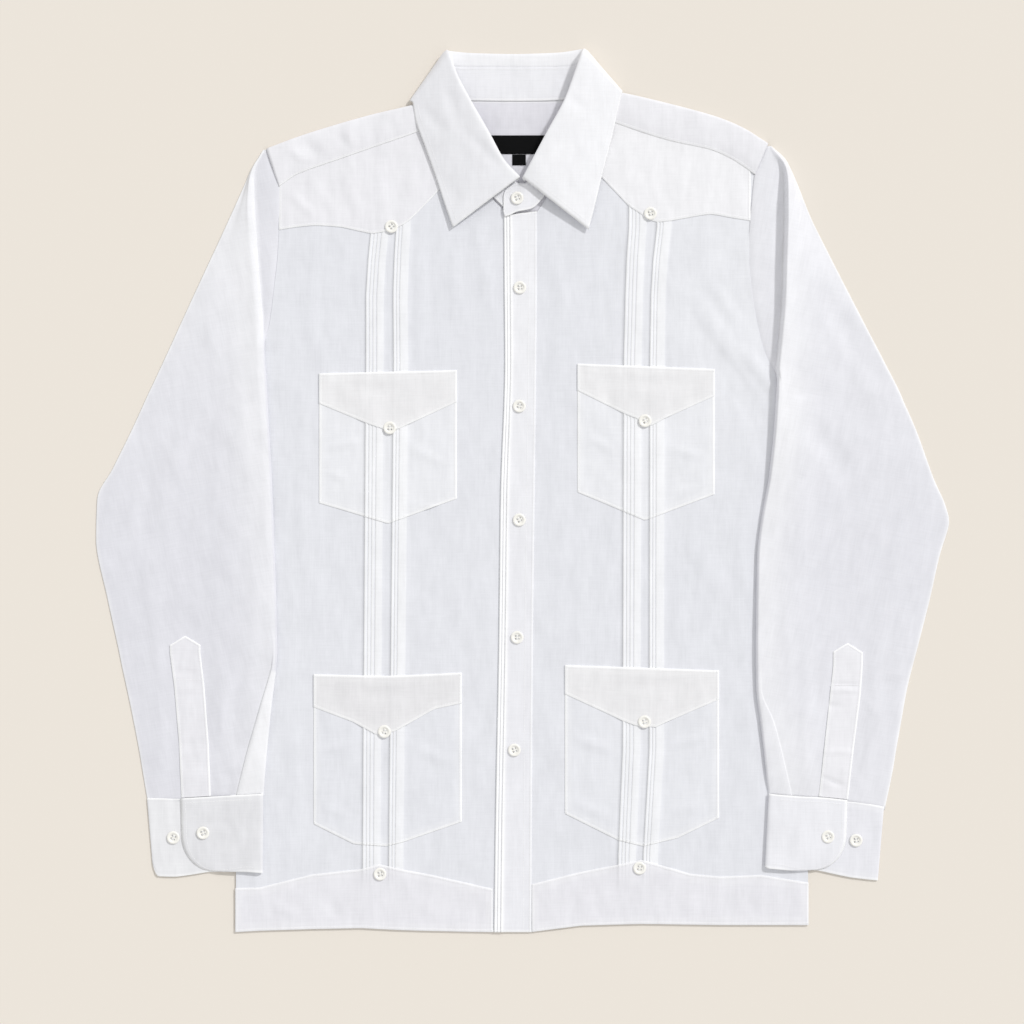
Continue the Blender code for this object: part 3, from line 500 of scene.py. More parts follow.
@dataclass(frozen=True)
class Thread:
    """Spun polyester sewing thread, a touch brighter than the cloth, with a slight gloss."""

    name: str
    colour: str

    def material(self) -> bpy.types.Material:
        """Builds the finish.

        Returns:
            The material.
        """
        material, tree, shader = new_material(self.name)
        place = add_node(tree, "ShaderNodeTexCoord").outputs["Object"]
        twist = add_node(tree, "ShaderNodeTexNoise", {"Vector": place, "Scale": 2600.0})
        bump = add_node(tree, "ShaderNodeBump", {
            "Height": twist.outputs["Fac"], "Strength": 0.3, "Distance": 0.05 * MM})
        tree.links.new(bump.outputs[0], shader.inputs["Normal"])
        shader.inputs["Base Color"].default_value = to_linear(self.colour)
        shader.inputs["Roughness"].default_value = 0.55
        return material


class Finishes:
    """Every finish of the shirt, made once."""

    def __init__(self) -> None:
        """Builds the materials."""
        self.single = Linen("linen_one_layer", "#e7e8ed", "#ffffff").material()
        # Painted shade: the body's linen, darker, for the sleeves
        self.sleeve = Linen("linen_sleeve_painted_shade", "#e4e4ea", "#ffffff").material()
        self.double = Linen("linen_two_layers", "#e5e4ea", "#ffffff", crumple=0.6).material()
        self.stiff = Linen("linen_interlined", "#ebebf0", "#ffffff", crumple=0.4).material()
        self.band = Linen("linen_pocket_band", "#e6e5e7", "#ffffff", crumple=0.6).material()
        # Painted shade: the interlined linen, darker, for the cuff that faces away from the key light
        self.cuff = Linen("linen_cuff_painted_shade", "#e5e5e8", "#ffffff", crumple=0.9).material()
        self.pearl = Pearl("pearly_resin", "#fffefa", "#f6f3ea").material()
        self.label = Satin("black_label_satin", "#050506").material()
        self.thread = Thread("white_thread", "#f6f6f6").material()


# ---- sheets


def new_object(name: str, data: bpy.types.ID) -> bpy.types.Object:
    """Makes an object and puts it in the scene.

    Args:
        name: The object's name.
        data: Its mesh, light or camera.

    Returns:
        The object.
    """
    made = bpy.data.objects.new(name, data)
    bpy.context.scene.collection.objects.link(made)
    return made


def finished_mesh(thing: bpy.types.Object) -> bpy.types.Mesh:
    """The mesh that an object's modifiers leave.

    Args:
        thing: The object, in the scene.

    Returns:
        A new mesh.
    """
    graph = bpy.context.evaluated_depsgraph_get()
    graph.update()
    return bpy.data.meshes.new_from_object(thing.evaluated_get(graph))


@dataclass
class Sheet:
    """A grid of points on the middle of the cloth, with how much whiter it is at each: partly extra layers of
    cloth, partly painted highlights and painted light.
    """

    points: Array
    # How much whiter the cloth is: extra layers of cloth, painted highlights and painted light
    layers_and_painted_light: Array
    missing: Array | None = None
    grain: float = 0.0

    def lengths(self, edge: Rim) -> Array:
        """Distance of every point from an edge, measured along the cloth.

        Args:
            edge: The edge.

        Returns:
            The distance for every point of the grid.
        """
        axis = 0 if edge in (Rim.FIRST_ROW, Rim.LAST_ROW) else 1
        points = self.points if edge in (Rim.FIRST_ROW, Rim.FIRST_COLUMN) else np.flip(self.points, axis)
        steps = np.linalg.norm(np.diff(points, axis=axis), axis=2)
        start = np.zeros_like(np.take(steps, [0], axis=axis))
        total = np.concatenate([start, np.cumsum(steps, axis=axis)], axis=axis)
        return total if edge in (Rim.FIRST_ROW, Rim.FIRST_COLUMN) else np.flip(total, axis)

    def turned_edges(self, edges: Iterable[Rim], drop: float = 0.35, white: float = 1.0) -> None:
        """Rounds edges down, as cloth that is turned in and stitched, and whitens them: a painted highlight along
        the very edge and a whiter band over the seam allowance's extra layers.

        Args:
            edges: The edges that are turned in.
            drop: How far the very edge bends down.
            white: How strong the painted highlight along the very edge is.
        """
        for edge in edges:
            away = self.lengths(edge)
            sunk = drop * np.exp(-((away / 0.6) ** 2))
            self.points[:, :, 2] -= sunk - 0.12 * np.exp(-(((away - 1.3) / 0.6) ** 2))
            self.points[:, :, 2] -= 0.12 * np.exp(-(((away - 2.2) / 0.5) ** 2))
            # A painted highlight along the very edge, and a whiter band over the seam allowance's extra layers
            self.layers_and_painted_light = np.maximum(self.layers_and_painted_light, white * np.exp(-((away / 1.5) ** 2)) + 0.12 * (away < 7.0))

    def whiten(self, amount: Array | float) -> None:
        """Makes the cloth whiter, by one amount or by one for each point. Most pieces use it as painted light,
        whiter towards the collar and the wearer's left, where the key light comes from.
        """
        self.layers_and_painted_light = self.layers_and_painted_light + amount * (1 - self.layers_and_painted_light)

    def inset_line(self, edge: Rim, distance: float, lift: float = WALL / 2, trim: float = 1.5) -> Array:
        """A line of points on the cloth's upper side, at a distance from an edge.

        Args:
            edge: The edge.
            distance: How far inside it the line runs.
            lift: How far above the middle of the cloth it lies.
            trim: How much of each end of the line is left off.

        Returns:
            The line's points.
        """
        away = self.lengths(edge)
        points = self.points
        if edge in (Rim.FIRST_ROW, Rim.LAST_ROW):
            away, points = away.T, points.transpose(1, 0, 2)
        line = []
        for gaps, places in zip(away, points):
            if gaps[0] > gaps[-1]:
                gaps, places = gaps[::-1], places[::-1]
            line.append([np.interp(distance, gaps, places[:, axis]) for axis in range(3)])
        line = np.array(line)
        line[:, 2] += lift
        along = np.concatenate([[0], np.cumsum(np.linalg.norm(np.diff(line, axis=0), axis=1))])
        kept = (along > trim) & (along < along[-1] - trim)
        return line[kept]

    def area(self) -> float:
        """Area of the cloth, in square metres.

        Returns:
            The summed area of the cells with cloth.
        """
        p = self.points * MM
        a, b, c, d = p[:-1, :-1], p[:-1, 1:], p[1:, 1:], p[1:, :-1]
        cells = np.linalg.norm(np.cross(c - a, d - b), axis=2) / 2
        return float(cells[self.cells()].sum())

    def cells(self) -> Array:
        """Which cells of the grid have cloth.

        Returns:
            True for each cell that has.
        """
        rows, columns = self.points.shape[:2]
        if self.missing is None:
            return np.ones((rows - 1, columns - 1), bool)
        gone = self.missing
        return ~(gone[:-1, :-1] | gone[:-1, 1:] | gone[1:, 1:] | gone[1:, :-1])

    def object(self, name: str, material: bpy.types.Material, wall: float = WALL) -> bpy.types.Object:
        """Makes the sheet's object.

        Args:
            name: The piece's name.
            material: Its finish.
            wall: The cloth's thickness.

        Returns:
            A shell with smooth faces, its cloth map and its whiteness attribute of extra layers, painted
            highlights and painted light.
        """
        rows, columns = self.points.shape[:2]
        index = np.arange(rows * columns).reshape(rows, columns)
        around = [index[:-1, :-1], index[:-1, 1:], index[1:, 1:], index[1:, :-1]]
        corners = np.stack(around, axis=2)[self.cells()]
        used = np.unique(corners)
        renumber = np.zeros(rows * columns, int)
        renumber[used] = np.arange(len(used))
        corners = renumber[corners]
        places = self.points.reshape(-1, 3)[used] * MM
        mesh = bpy.data.meshes.new(name)
        mesh.from_pydata(places.tolist(), [], corners.tolist())
        mesh.polygons.foreach_set("use_smooth", np.ones(len(corners), bool))
        layers_and_painted_light = mesh.attributes.new("layers_and_painted_light", "FLOAT", "POINT")
        layers_and_painted_light.data.foreach_set("value", np.clip(self.layers_and_painted_light.reshape(-1)[used], 0, 1).astype(np.float32))
        turn = math.radians(self.grain)
        flat = np.stack([places[:, 0] * math.cos(turn) + places[:, 1] * math.sin(turn),
                         places[:, 1] * math.cos(turn) - places[:, 0] * math.sin(turn)], axis=1)
        uv = mesh.uv_layers.new(name="cloth")
        uv.data.foreach_set("uv", flat[corners.ravel()].astype(np.float32).ravel())
        mesh.materials.append(material)
        piece = new_object(name, mesh)
        shell = piece.modifiers.new("Wall", "SOLIDIFY")
        shell.thickness = wall * MM
        shell.offset = 0
        shell.use_quality_normals = True
        return piece


def refine(points: Array, row_cells: Iterable[int], column_cells: Iterable[int]) -> Array:
    """Fills a coarse grid of points with smooth curves both ways.

    Args:
        points: The coarse grid.
        row_cells: How many cells each gap between rows becomes.
        column_cells: How many cells each gap between columns becomes.

    Returns:
        The fine grid.
    """
    for axis, cells in ((0, row_cells), (1, column_cells)):
        at = np.concatenate([np.arange(n) / n + i for i, n in enumerate(cells)] + [[points.shape[axis] - 1]])
        moved = np.moveaxis(points, axis, 0)
        points = np.moveaxis(flow(np.arange(len(moved)), moved, at), 0, axis)
    return points


def place_piece(piece: bpy.types.Object, slot: str | None, *nodes: str) -> bpy.types.Object:
    """Rides a piece on the shirt, hides the nodes it stands for, and logs it.

    Args:
        piece: The piece.
        slot: Not used.
        *nodes: The nodes it replaces.

    Returns:
        The same piece.
    """
    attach(piece, BODY)
    if nodes:
        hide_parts(*nodes)
    LOG.info("%s: %d faces", piece.name, len(piece.data.polygons))
    return piece


def declare(sheet: Sheet, flat: Pair) -> None:
    """Takes the smaller of a piece's cloth area and the area of its cut, and keeps neither.

    Args:
        sheet: Its grid, which gives its flat area.
        flat: The width and length of its cut, in millimetres.
    """
    width, length = flat[0] * MM, flat[1] * MM
    min(sheet.area(), width * length)


# ---- the body


@dataclass(frozen=True)
class Columns:
    """The columns of a panel on a front, which keep to the tucks all the way down.

    Each lies at a weighted sum of the panel's two edges and the first folds of the two groups of tucks.
    """

    tucks: tuple[Tucks, ...]
    low: float
    high: float
    weights: tuple[Array, Array, Array, Array]
    offset: Array

    def across(self, y: Array, low: Array | None = None, high: Array | None = None) -> Array:
        """Place of every column at the heights of a grid.

        Args:
            y: The height of every point, by rows and columns.
            low: The edge towards the wearer's right at each point, where it isn't straight.
            high: The edge towards the wearer's left.

        Returns:
            The place across of every point.
        """
        low = self.low if low is None else low
        high = self.high if high is None else high
        first = straight(self.tucks, "y", "group_a", y)
        second = straight(self.tucks, "y", "group_b", y)
        by_low, by_first, by_second, by_high = self.weights
        return by_low * low + by_first * first + by_second * second + by_high * high + self.offset


@dataclass
class Fronts:
    """The two fronts with their tucks, and the shape that everything sewn onto them follows."""

    finishes: Finishes
    armpit_y: float = 81.5
    tuck_heights: tuple[float, ...] = (1.0, 0.55, 0.55, 0.55)
    tuck_rise: float = 0.35
    step: float = 3.2
    group_a: tuple[float, ...] = (3.2, 3.2, 3.5, 6.6)
    group_b: tuple[float, ...] = (2.9, 2.9, 7.8)
    tuck_ends: dict[Side, tuple[float, ...]] = field(
        default_factory=lambda: {Side.RIGHT: (-366, -346, 250, 259), Side.LEFT: (-366, -346, 262, 271)})
    collar_bed: tuple[float, float, float] = (-104.0, 93.0, 346.0)
    cuts: dict[Side, Pair] = field(
        default_factory=lambda: {Side.RIGHT: (284, 740), Side.LEFT: (254, 740)})
    armhole: tuple[Span, ...] = (
        Span(81.5, -263.5, 262.5), Span(88, -259, 246), Span(102, -251.5, 236.5), Span(126, -241, 223),
        Span(152, -233, 216), Span(190, -228, 210), Span(218, -225, 208), Span(240, -224, 209.5),
        Span(280, -223.5, 213), Span(291, -226.5, 214), Span(318, -237.5, 225.5),
    )
    hem: tuple[Point, ...] = (
        Point(-264, -406), Point(-238, -404.5), Point(-155, -402), Point(-102, -404.5), Point(-26, -406),
        Point(7, -406), Point(35, -400.5), Point(111, -398.5), Point(186, -399.5), Point(264, -399.5),
    )
    opening: tuple[Span, ...] = (
        Span(-406, -26, 8), Span(-296, -24.5, 8.5), Span(-137, -21.5, 9.5), Span(-8, -20, 11),
        Span(120, -16, 12.5), Span(185, -16.5, 13), Span(257, -17, 13),
    )
    neck_right: tuple[Point, ...] = (
        Point(13, 243), Point(0, 249), Point(-15, 255), Point(-43.5, 285.5), Point(-65, 315), Point(-75, 341))
    neck_left: tuple[Point, ...] = (Point(13.3, 256), Point(34.5, 287.5), Point(54, 317), Point(65, 342.5))
    strip_seam: dict[Side, tuple[Point, ...]] = field(default_factory=lambda: {
        Side.RIGHT: (Point(-223.5, 280), Point(-209, 290.5), Point(-168, 305.5), Point(-132, 318),
                     Point(-97, 330.5)),
        Side.LEFT: (Point(85.5, 338.5), Point(135, 322.5), Point(173, 314), Point(191, 306), Point(214, 291)),
    })
    tucks: dict[Side, tuple[Tucks, ...]] = field(default_factory=lambda: {
        Side.RIGHT: (Tucks(-335, -147, -123), Tucks(-238, -146.5, -122), Tucks(120, -144, -118.5),
                     Tucks(180, -144, -119), Tucks(212, -142, -118), Tucks(242, -139, -116.3)),
        Side.LEFT: (Tucks(-335, 88, 111), Tucks(-238, 92, 116.5), Tucks(120, 93, 117),
                    Tucks(180, 94.5, 118), Tucks(212, 95.6, 120), Tucks(242, 97.7, 123.5)),
    })
    folds: tuple[Fold, ...] = (
        Fold(150, 186, 204, 112, 13, 1.5),
        Fold(196, 140, 236, 84, 10, 1.2), Fold(176, 130, 222, 56, 12, -1.7),
        Fold(168, 200, 200, 150, 9, 0.8),
        Fold(-46, 262, -26, 150, 9, 1.3),
        Fold(-66, 232, -58, 120, 14, 0.6),
        Fold(-98, 236, -92, 130, 12, 0.5),
        Fold(26, 240, 40, 130, 12, 0.7),
        Fold(64, 232, 70, 130, 12, 0.5),
        Fold(-200, 200, -186, 110, 13, 0.6),
        Fold(-206, 60, -200, -80, 12, 0.5),
        Fold(-46, 60, -40, -90, 12, 0.5),
        Fold(-66, -60, -44, -150, 12, 0.6),
        Fold(30, 40, 36, -120, 12, 0.5),
        Fold(150, -30, 196, -120, 15, 0.9),
        Fold(60, -50, 46, -140, 12, 0.6),
        Fold(-214, -190, -206, -330, 12, 0.7),
        Fold(206, -180, 214, -320, 13, 0.8),
        Fold(-60, -330, -36, -356, 9, 0.6),
        Fold(196, 20, 206, -100, 12, 0.6),
    )
    pocket_folds: tuple[Fold, ...] = (
        Fold(-182, 38, -150, 46, 5, 0.5), Fold(-108, 42, -66, 22, 6, 0.6), Fold(-180, 16, -160, 10, 6, 0.5),
        Fold(-100, -12, -66, -20, 6, 0.5), Fold(58, 50, 86, 36, 6, 0.5), Fold(130, 40, 170, 30, 6, 0.6),
        Fold(132, -4, 168, 4, 6, 0.4), Fold(-186, -240, -156, -232, 7, 0.6),
        Fold(-100, -236, -62, -252, 7, 0.6), Fold(-184, -290, -158, -300, 7, 0.5),
        Fold(46, -226, 84, -240, 7, 0.6), Fold(132, -236, 172, -224, 7, 0.6),
        Fold(134, -296, 172, -288, 7, 0.5), Fold(44, -286, 84, -300, 7, 0.5),
        Fold(-160, -188, -98, -186, 10, -1.4), Fold(84, -180, 150, -178, 10, -1.2),
        Fold(-164, 94, -96, 92, 10, -1), Fold(76, 100, 150, 98, 10, -1), Fold(-232, -378, -206, -392, 8, 0.9),
        Fold(-180, -372, -168, -394, 9, -0.9), Fold(-92, -372, -84, -396, 9, 0.9),
        Fold(48, -366, 44, -392, 9, -0.9), Fold(150, -372, 160, -392, 8, 0.8),
        Fold(206, -370, 214, -392, 9, -0.8),
    )

    def side_edge(self, side: Side, y: Array) -> Array:
        """Edge of the body on a side, down the armhole and then the side seam."""
        return smooth(self.armhole, "y", side.word, np.maximum(y, self.armpit_y))

    def lift(self, x: Array, y: Array) -> Array:
        """How far the body's layers rise over the back of the collar and over its folds.

        Args:
            x: Places across.
            y: Heights up the body.

        Returns:
            The rise, or a drop down to DEEPEST_FOLD.
        """
        low_x, high_x, low_y = self.collar_bed
        across = 1 - np.maximum(np.maximum(low_x - x, x - high_x), 0) / 30
        along = 1 - np.maximum(low_y - y, 0) / 18
        bed = LAYER * np.maximum(across, 0) * np.maximum(along, 0)
        return np.maximum(bed + ridges(self.folds, x, y), DEEPEST_FOLD)

    def to_hem(self, x: Array, y: Array) -> Array:
        """Heights of points, moved near the hem so that the lowest ones follow it.

        Args:
            x: Places across.
            y: Heights, from LOWEST_Y up.

        Returns:
            The new heights.
        """
        hem = smooth(self.hem, "x", "y", x)
        return np.where(y < HEM_TOP_Y, hem + (y - LOWEST_Y) * (HEM_TOP_Y - hem) / (HEM_TOP_Y - LOWEST_Y), y)

    def profile(self, group: tuple[float, ...]) -> tuple[Array, Array, Array]:
        """The outline of a group of tucks.

        Args:
            group: The steps from one folded edge to the next, then the width of the last fold.

        Returns:
            Distances from the first folded edge, the height at each and how white it is.
        """
        places, heights, highlight_and_layer_whites = [], [], []
        start = 0.0
        for i, (step, high) in enumerate(zip(group, self.tuck_heights)):
            last = i == len(group) - 1
            places += [start, start + self.tuck_rise, start + 1.1, start + step - 0.5]
            heights += [0.0, high, high * 0.92, high * (0.75 if last else 0.25)]
            highlight_and_layer_whites += [0.0, 0.85, 0.5, 0.4 if last else 0.1]
            start += step
        return (np.array(places + [start + 0.2]), np.array(heights + [0.0]), np.array(highlight_and_layer_whites + [0.0]))

    def tuck(self, side: Side, x: Array, y: Array, which: int = 1) -> Array:
        """Height of the tucks at points, or with which 2 how white they are from painted highlights and extra
        layers.

        Args:
            side: The front's side.
            x: Places across.
            y: Heights up the body.
            which: 1 for the height and 2 for the whiteness.

        Returns:
            The value at each point.
        """
        fade = np.interp(y, self.tuck_ends[side], (0, 1, 1, 0))
        total = np.zeros(np.broadcast(x, y).shape)
        for name, group in (("group_a", self.group_a), ("group_b", self.group_b)):
            profile = self.profile(group)
            total = total + np.interp(x - straight(self.tucks[side], "y", name, y), profile[0], profile[which])
        return total * fade

    def columns(self, side: Side, low: float, high: float) -> Columns:
        """The columns of a panel, close together at its edges and at the tucks.

        Args:
            side: The front's side.
            low: The panel's edge towards the wearer's right.
            high: Its edge towards the wearer's left.

        Returns:
            The columns.
        """
        a, b = self.profile(self.group_a)[0], self.profile(self.group_b)[0]
        start_a, start_b = self.tucks[side][2].group_a, self.tucks[side][2].group_b
        before = steps_along(start_a - low, self.step, fine_end=False)[:-1]
        middle = steps_along(start_b - start_a - a[-1], self.step, fine_start=False, fine_end=False)[1:-1]
        after = steps_along(high - start_b - b[-1], self.step, fine_start=False)[1:]
        n = [len(before), len(a), len(middle), len(b), len(after)]
        weights = (
            np.concatenate([1 - before, np.zeros(sum(n[1:]))]),
            np.concatenate([before, np.ones(n[1]), 1 - middle, np.zeros(n[3] + n[4])]),
            np.concatenate([np.zeros(n[0] + n[1]), middle, np.ones(n[3]), 1 - after]),
            np.concatenate([np.zeros(sum(n[:4])), after]),
        )
        offset = np.concatenate([np.zeros(n[0]), a, (1 - middle) * a[-1], b, (1 - after) * b[-1]])
        return Columns(self.tucks[side], low, high, weights, offset)

    def front(self, side: Side) -> Sheet:
        """One front, from the hem to the shoulder.

        Args:
            side: The front's side.

        Returns:
            The front's grid.
        """
        low, high = (-264.0, -20.0) if side is Side.RIGHT else (13.0, 262.5)
        columns = self.columns(side, low, high)
        below = LOWEST_Y + 655 * steps_along(655, self.step, fine_end=False)
        levels = np.concatenate([below, np.linspace(252, 330, 22)])
        y = np.repeat(levels[:, None], len(columns.offset), axis=1)
        outer = np.where(y > (280 if side is Side.RIGHT else 291), straight(self.strip_seam[side], "y", "x", y),
                         self.side_edge(side, y))
        if side is Side.RIGHT:
            opening = smooth(self.opening, "y", "left", y) - 0.6
            inner = np.where(y > 243, straight(self.neck_right, "y", "x", y), opening)
            x = columns.across(y, outer, inner)
        else:
            opening = smooth(self.opening, "y", "left", y) - 0.2
            inner = np.where(y > 256, straight(self.neck_left, "y", "x", y), opening)
            x = columns.across(y, inner, outer)
        y = self.to_hem(x, y)
        z = FRONT_Z + self.lift(x, y) + self.tuck(side, x, y)
        sheet = Sheet(np.stack([x, y, z], axis=2), self.tuck(side, x, y, 2))
        # Painted light: whiter towards the wearer's left and the collar, where the key light comes from
        sheet.whiten(0.2 * ease((x - 20) / 190) * ease((y + 60) / 240))
        sheet.turned_edges([Rim.FIRST_ROW])
        return sheet

    def panel(self, side: Side, edges: tuple[Edge, ...], level: float, rows: float, extra: float = 0.0,
              shown: float = 1.0, white: float = 1.0) -> Sheet:
        """A panel sewn onto a front over its tucks.

        Args:
            side: The front's side.
            edges: Its top and low edges, by columns.
            level: The height of its layer.
            rows: About how long it is, for the spacing of its rows.
            extra: How far its own folds show.
            shown: How far the tucks below show in it. It arches softly over the rest.
            white: How strong the painted highlight along its very edges is.

        Returns:
            The panel's grid.
        """
        columns = self.columns(side, edges[0].x, edges[-1].x)
        share = steps_along(rows, self.step)[:, None] * np.ones(len(columns.offset))
        y = edges[0].low + share * (edges[0].top - edges[0].low)
        for _ in range(5):
            x = columns.across(y)
            low, top = straight(edges, "x", "low", x), straight(edges, "x", "top", x)
            y = low + share * (top - low)
        a, b = (straight(self.tucks[side], "y", name, y) for name in ("group_a", "group_b"))
        fade = np.interp(y, self.tuck_ends[side], (0, 1, 1, 0))
        arch = ease((x - a + 12) / 12) * ease((b + 26 - x) / 12) * fade
        z = level + self.lift(x, y) + shown * self.tuck(side, x, y) + 0.6 * (1 - shown) * arch
        z = z + extra * ridges(self.pocket_folds, x, y)
        sheet = Sheet(np.stack([x, y, z], axis=2), 0.85 * shown * self.tuck(side, x, y, 2))
        sheet.turned_edges(Rim, white=white)
        return sheet

    def build(self) -> list[Array]:
        """Makes both fronts. Their seams are under other pieces, so they have no stitching of their own.

        Returns:
            No lines.
        """
        for side in Side:
            sheet = self.front(side)
            piece = place_piece(sheet.object(f"shirt_front_{side.word}", self.finishes.single), "linen",
                                f"front_{side.word}")
            declare(sheet, self.cuts[side])
        return []


@dataclass
class Pockets:
    """Four patch pockets with a buttoned, pointed band across the top of each."""

    finishes: Finishes
    fronts: Fronts
    pocket_length: float = 160
    band_length: float = 62
    pockets: dict[str, tuple[Edge, ...]] = field(default_factory=lambda: {
        "chest_right": (Edge(-187, 107.5, -11.5), Edge(-168, 108, -17), Edge(-123.5, 109, -30.5),
                        Edge(-80, 110, -14.5), Edge(-60.5, 110.5, -7.5)),
        "chest_left": (Edge(50.5, 116.5, -1.5), Edge(70, 115.7, -9.5), Edge(112.5, 114, -27.5),
                       Edge(155, 112.4, -11.5), Edge(176.5, 111.5, -3.5)),
        "waist_right": (Edge(-192, -169, -306.5), Edge(-155, -170, -325), Edge(-125, -170.5, -327),
                        Edge(-109.5, -170, -323), Edge(-56, -167.5, -304.5)),
        "waist_left": (Edge(39, -160.5, -297), Edge(88, -162.2, -321.5), Edge(111, -163, -327),
                       Edge(142.5, -164.2, -319.5), Edge(180.5, -165.5, -301)),
    })
    bands: dict[str, tuple[Edge, ...]] = field(default_factory=lambda: {
        "chest_right": (Edge(-187, 107.5, 80), Edge(-141, 108.6, 61), Edge(-127.5, 108.9, 56.5),
                        Edge(-114.5, 109.2, 56.5), Edge(-102.5, 109.5, 62), Edge(-60.5, 110.5, 81.5)),
        "chest_left": (Edge(50.5, 116.5, 92), Edge(94, 114.7, 70.5), Edge(105.5, 114.3, 66),
                       Edge(118, 113.8, 59.5), Edge(131, 113.3, 66.5), Edge(176.5, 111.5, 87)),
        "waist_right": (Edge(-192, -169, -199), Edge(-155, -170, -213), Edge(-134, -170.4, -224.5),
                        Edge(-118, -170.3, -221.5), Edge(-106, -169.8, -215), Edge(-81.5, -168.7, -201),
                        Edge(-56, -167.5, -195.5)),
        "waist_left": (Edge(39, -160.5, -187), Edge(92, -162.4, -211.5), Edge(105, -162.8, -216.5),
                       Edge(122, -163.4, -217.5), Edge(133, -163.8, -212.5), Edge(180.5, -165.5, -192)),
    })

    def build(self) -> list[Array]:
        """Makes the pockets and their bands.

        Returns:
            The lines of their stitching.
        """
        lines = []
        for name, edges in self.pockets.items():
            side = Side.RIGHT if name.endswith("right") else Side.LEFT
            size = (edges[-1].x - edges[0].x + 2, self.pocket_length)
            sheet = self.fronts.panel(side, edges, APPLIED_Z, 130, extra=1.8)
            # Painted light: the chest pockets and the wearer's left, nearer the key light, whiter
            sheet.whiten(0.25 if name.startswith("chest") else 0.08 if side is Side.LEFT else 0.0)
            piece = place_piece(sheet.object(f"patch_pocket_{name}", self.finishes.single), "linen",
                                f"pocket_{name}")
            declare(sheet, size)
            sewn = (Rim.FIRST_ROW, Rim.FIRST_COLUMN, Rim.LAST_COLUMN)
            lines += [sheet.inset_line(edge, 2.2) for edge in sewn]
            band = self.fronts.panel(side, self.bands[name], BAND_Z, 40, extra=0.8, shown=0.05)
            # Painted light: the bands nearer the key light whiter
            band.whiten({"chest_right": 0.3, "chest_left": 0.32, "waist_right": 0.1, "waist_left": 0.26}[name])
            over = place_piece(band.object(f"patch_band_{name}", self.finishes.band), "linen_double",
                               f"pocket_band_{name}")
            declare(band, (size[0], self.band_length))
            lines += [band.inset_line(edge, 2.2) for edge in Rim]
        return lines


@dataclass
class Placket:
    """The strip down the left front that closes over the right one, with two fine tucks at its free edge."""

    finishes: Finishes
    fronts: Fronts
    tuck_lines: Pair = (2.9, 6.0)
    tuck_height: float = 0.85
    top_lean: float = 0.12
    cut: Pair = (37, 664)

    def build(self) -> list[Array]:
        """Makes the placket.

        Returns:
            The lines of its stitching.
        """
        levels = LOWEST_Y + 659 * steps_along(659, 3.2)
        width = 34.5
        share = steps_along(width, 3.2)
        for line in self.tuck_lines:
            near = np.array([line - 0.05, line + 0.35, line + 1.1, line + 2.2])
            share = np.concatenate([share, near / width])
        share = np.unique(share)
        y = np.repeat(levels[:, None], len(share), axis=1)
        right, left = smooth(self.fronts.opening, "y", "right", y), smooth(self.fronts.opening, "y", "left", y)
        x = between(right, left, share)
        y = self.fronts.to_hem(x, y)
        y = np.where(levels[:, None] > 240, y + (levels[:, None] - 240) / 13 * self.top_lean * (x - right), y)
        across = share * width
        steps = np.zeros_like(across)
        # Painted highlights along the placket's edge and each tuck's folded edge
        white = np.full_like(across, 0.12)
        for line in (0.0, *self.tuck_lines):
            after = across - line
            steps += np.interp(after, (-0.05, 0.35, 2.6, 3.1), (0, self.tuck_height, self.tuck_height * 0.2, 0))
            white += np.interp(after, (-0.05, 0.3, 1.1, 2.6, 2.9), (0, 0.9, 0.7, 0.2, 0))
        z = APPLIED_Z + self.fronts.lift(x, y) + steps
        sheet = Sheet(np.stack([x, y, z], axis=2), np.repeat(white[None, :], len(levels), axis=0))
        # Painted light, whiter towards the collar, where the key light comes from
        sheet.whiten(0.25 * ease((y + 200) / 400))
        sheet.turned_edges([Rim.FIRST_ROW, Rim.LAST_ROW, Rim.FIRST_COLUMN], white=0.9)
        sheet.turned_edges([Rim.LAST_COLUMN], white=0.35)
        piece = place_piece(sheet.object("front_placket", self.finishes.stiff), "linen_stiff", "placket")
        declare(sheet, self.cut)
        return [sheet.inset_line(Rim.FIRST_COLUMN, 8.2), sheet.inset_line(Rim.LAST_COLUMN, 1.8),
                sheet.inset_line(Rim.LAST_COLUMN, 7.5)]


@dataclass
class HemBands:
    """The bands along the hem of the two fronts, each with a low peak."""

    finishes: Finishes
    fronts: Fronts
    cut: Pair = (256, 68)
    right: tuple[Edge, ...] = (
        Edge(-264, -365.5, -406), Edge(-241.5, -365, -404.7), Edge(-193.5, -353, -403.2),
        Edge(-148, -348, -402.3), Edge(-131.5, -343.5, -403.2), Edge(-112.5, -348, -404.1),
        Edge(-83.5, -353.5, -404.9), Edge(-27.5, -366.3, -406),
    )
    left: tuple[Edge, ...] = (
        Edge(8.6, -362, -405.8), Edge(54.5, -350.5, -400), Edge(88, -344, -399), Edge(109, -339.5, -398.5),
        Edge(122, -343, -398.6), Edge(154, -352.5, -399.1), Edge(181.5, -355, -399.5),
        Edge(219.5, -353.5, -399.5), Edge(262.8, -360.5, -399.5),
    )

    def build(self) -> list[Array]:
        """Makes the two bands.

        Returns:
            The lines of their stitching.
        """
        lines = []
        for side, edges in ((Side.RIGHT, self.right), (Side.LEFT, self.left)):
            sheet = self.fronts.panel(side, edges, APPLIED_Z, 50, extra=1.0, shown=0.3, white=0.5)
            sheet.whiten(0.2)
            piece = place_piece(sheet.object(f"hem_facing_{side.word}", self.finishes.double), "linen_double",
                                f"hem_band_{side.word}")
            declare(sheet, self.cut)
            lines += [sheet.inset_line(Rim.LAST_ROW, 2.0), sheet.inset_line(Rim.FIRST_ROW, 2.0)]
        return lines


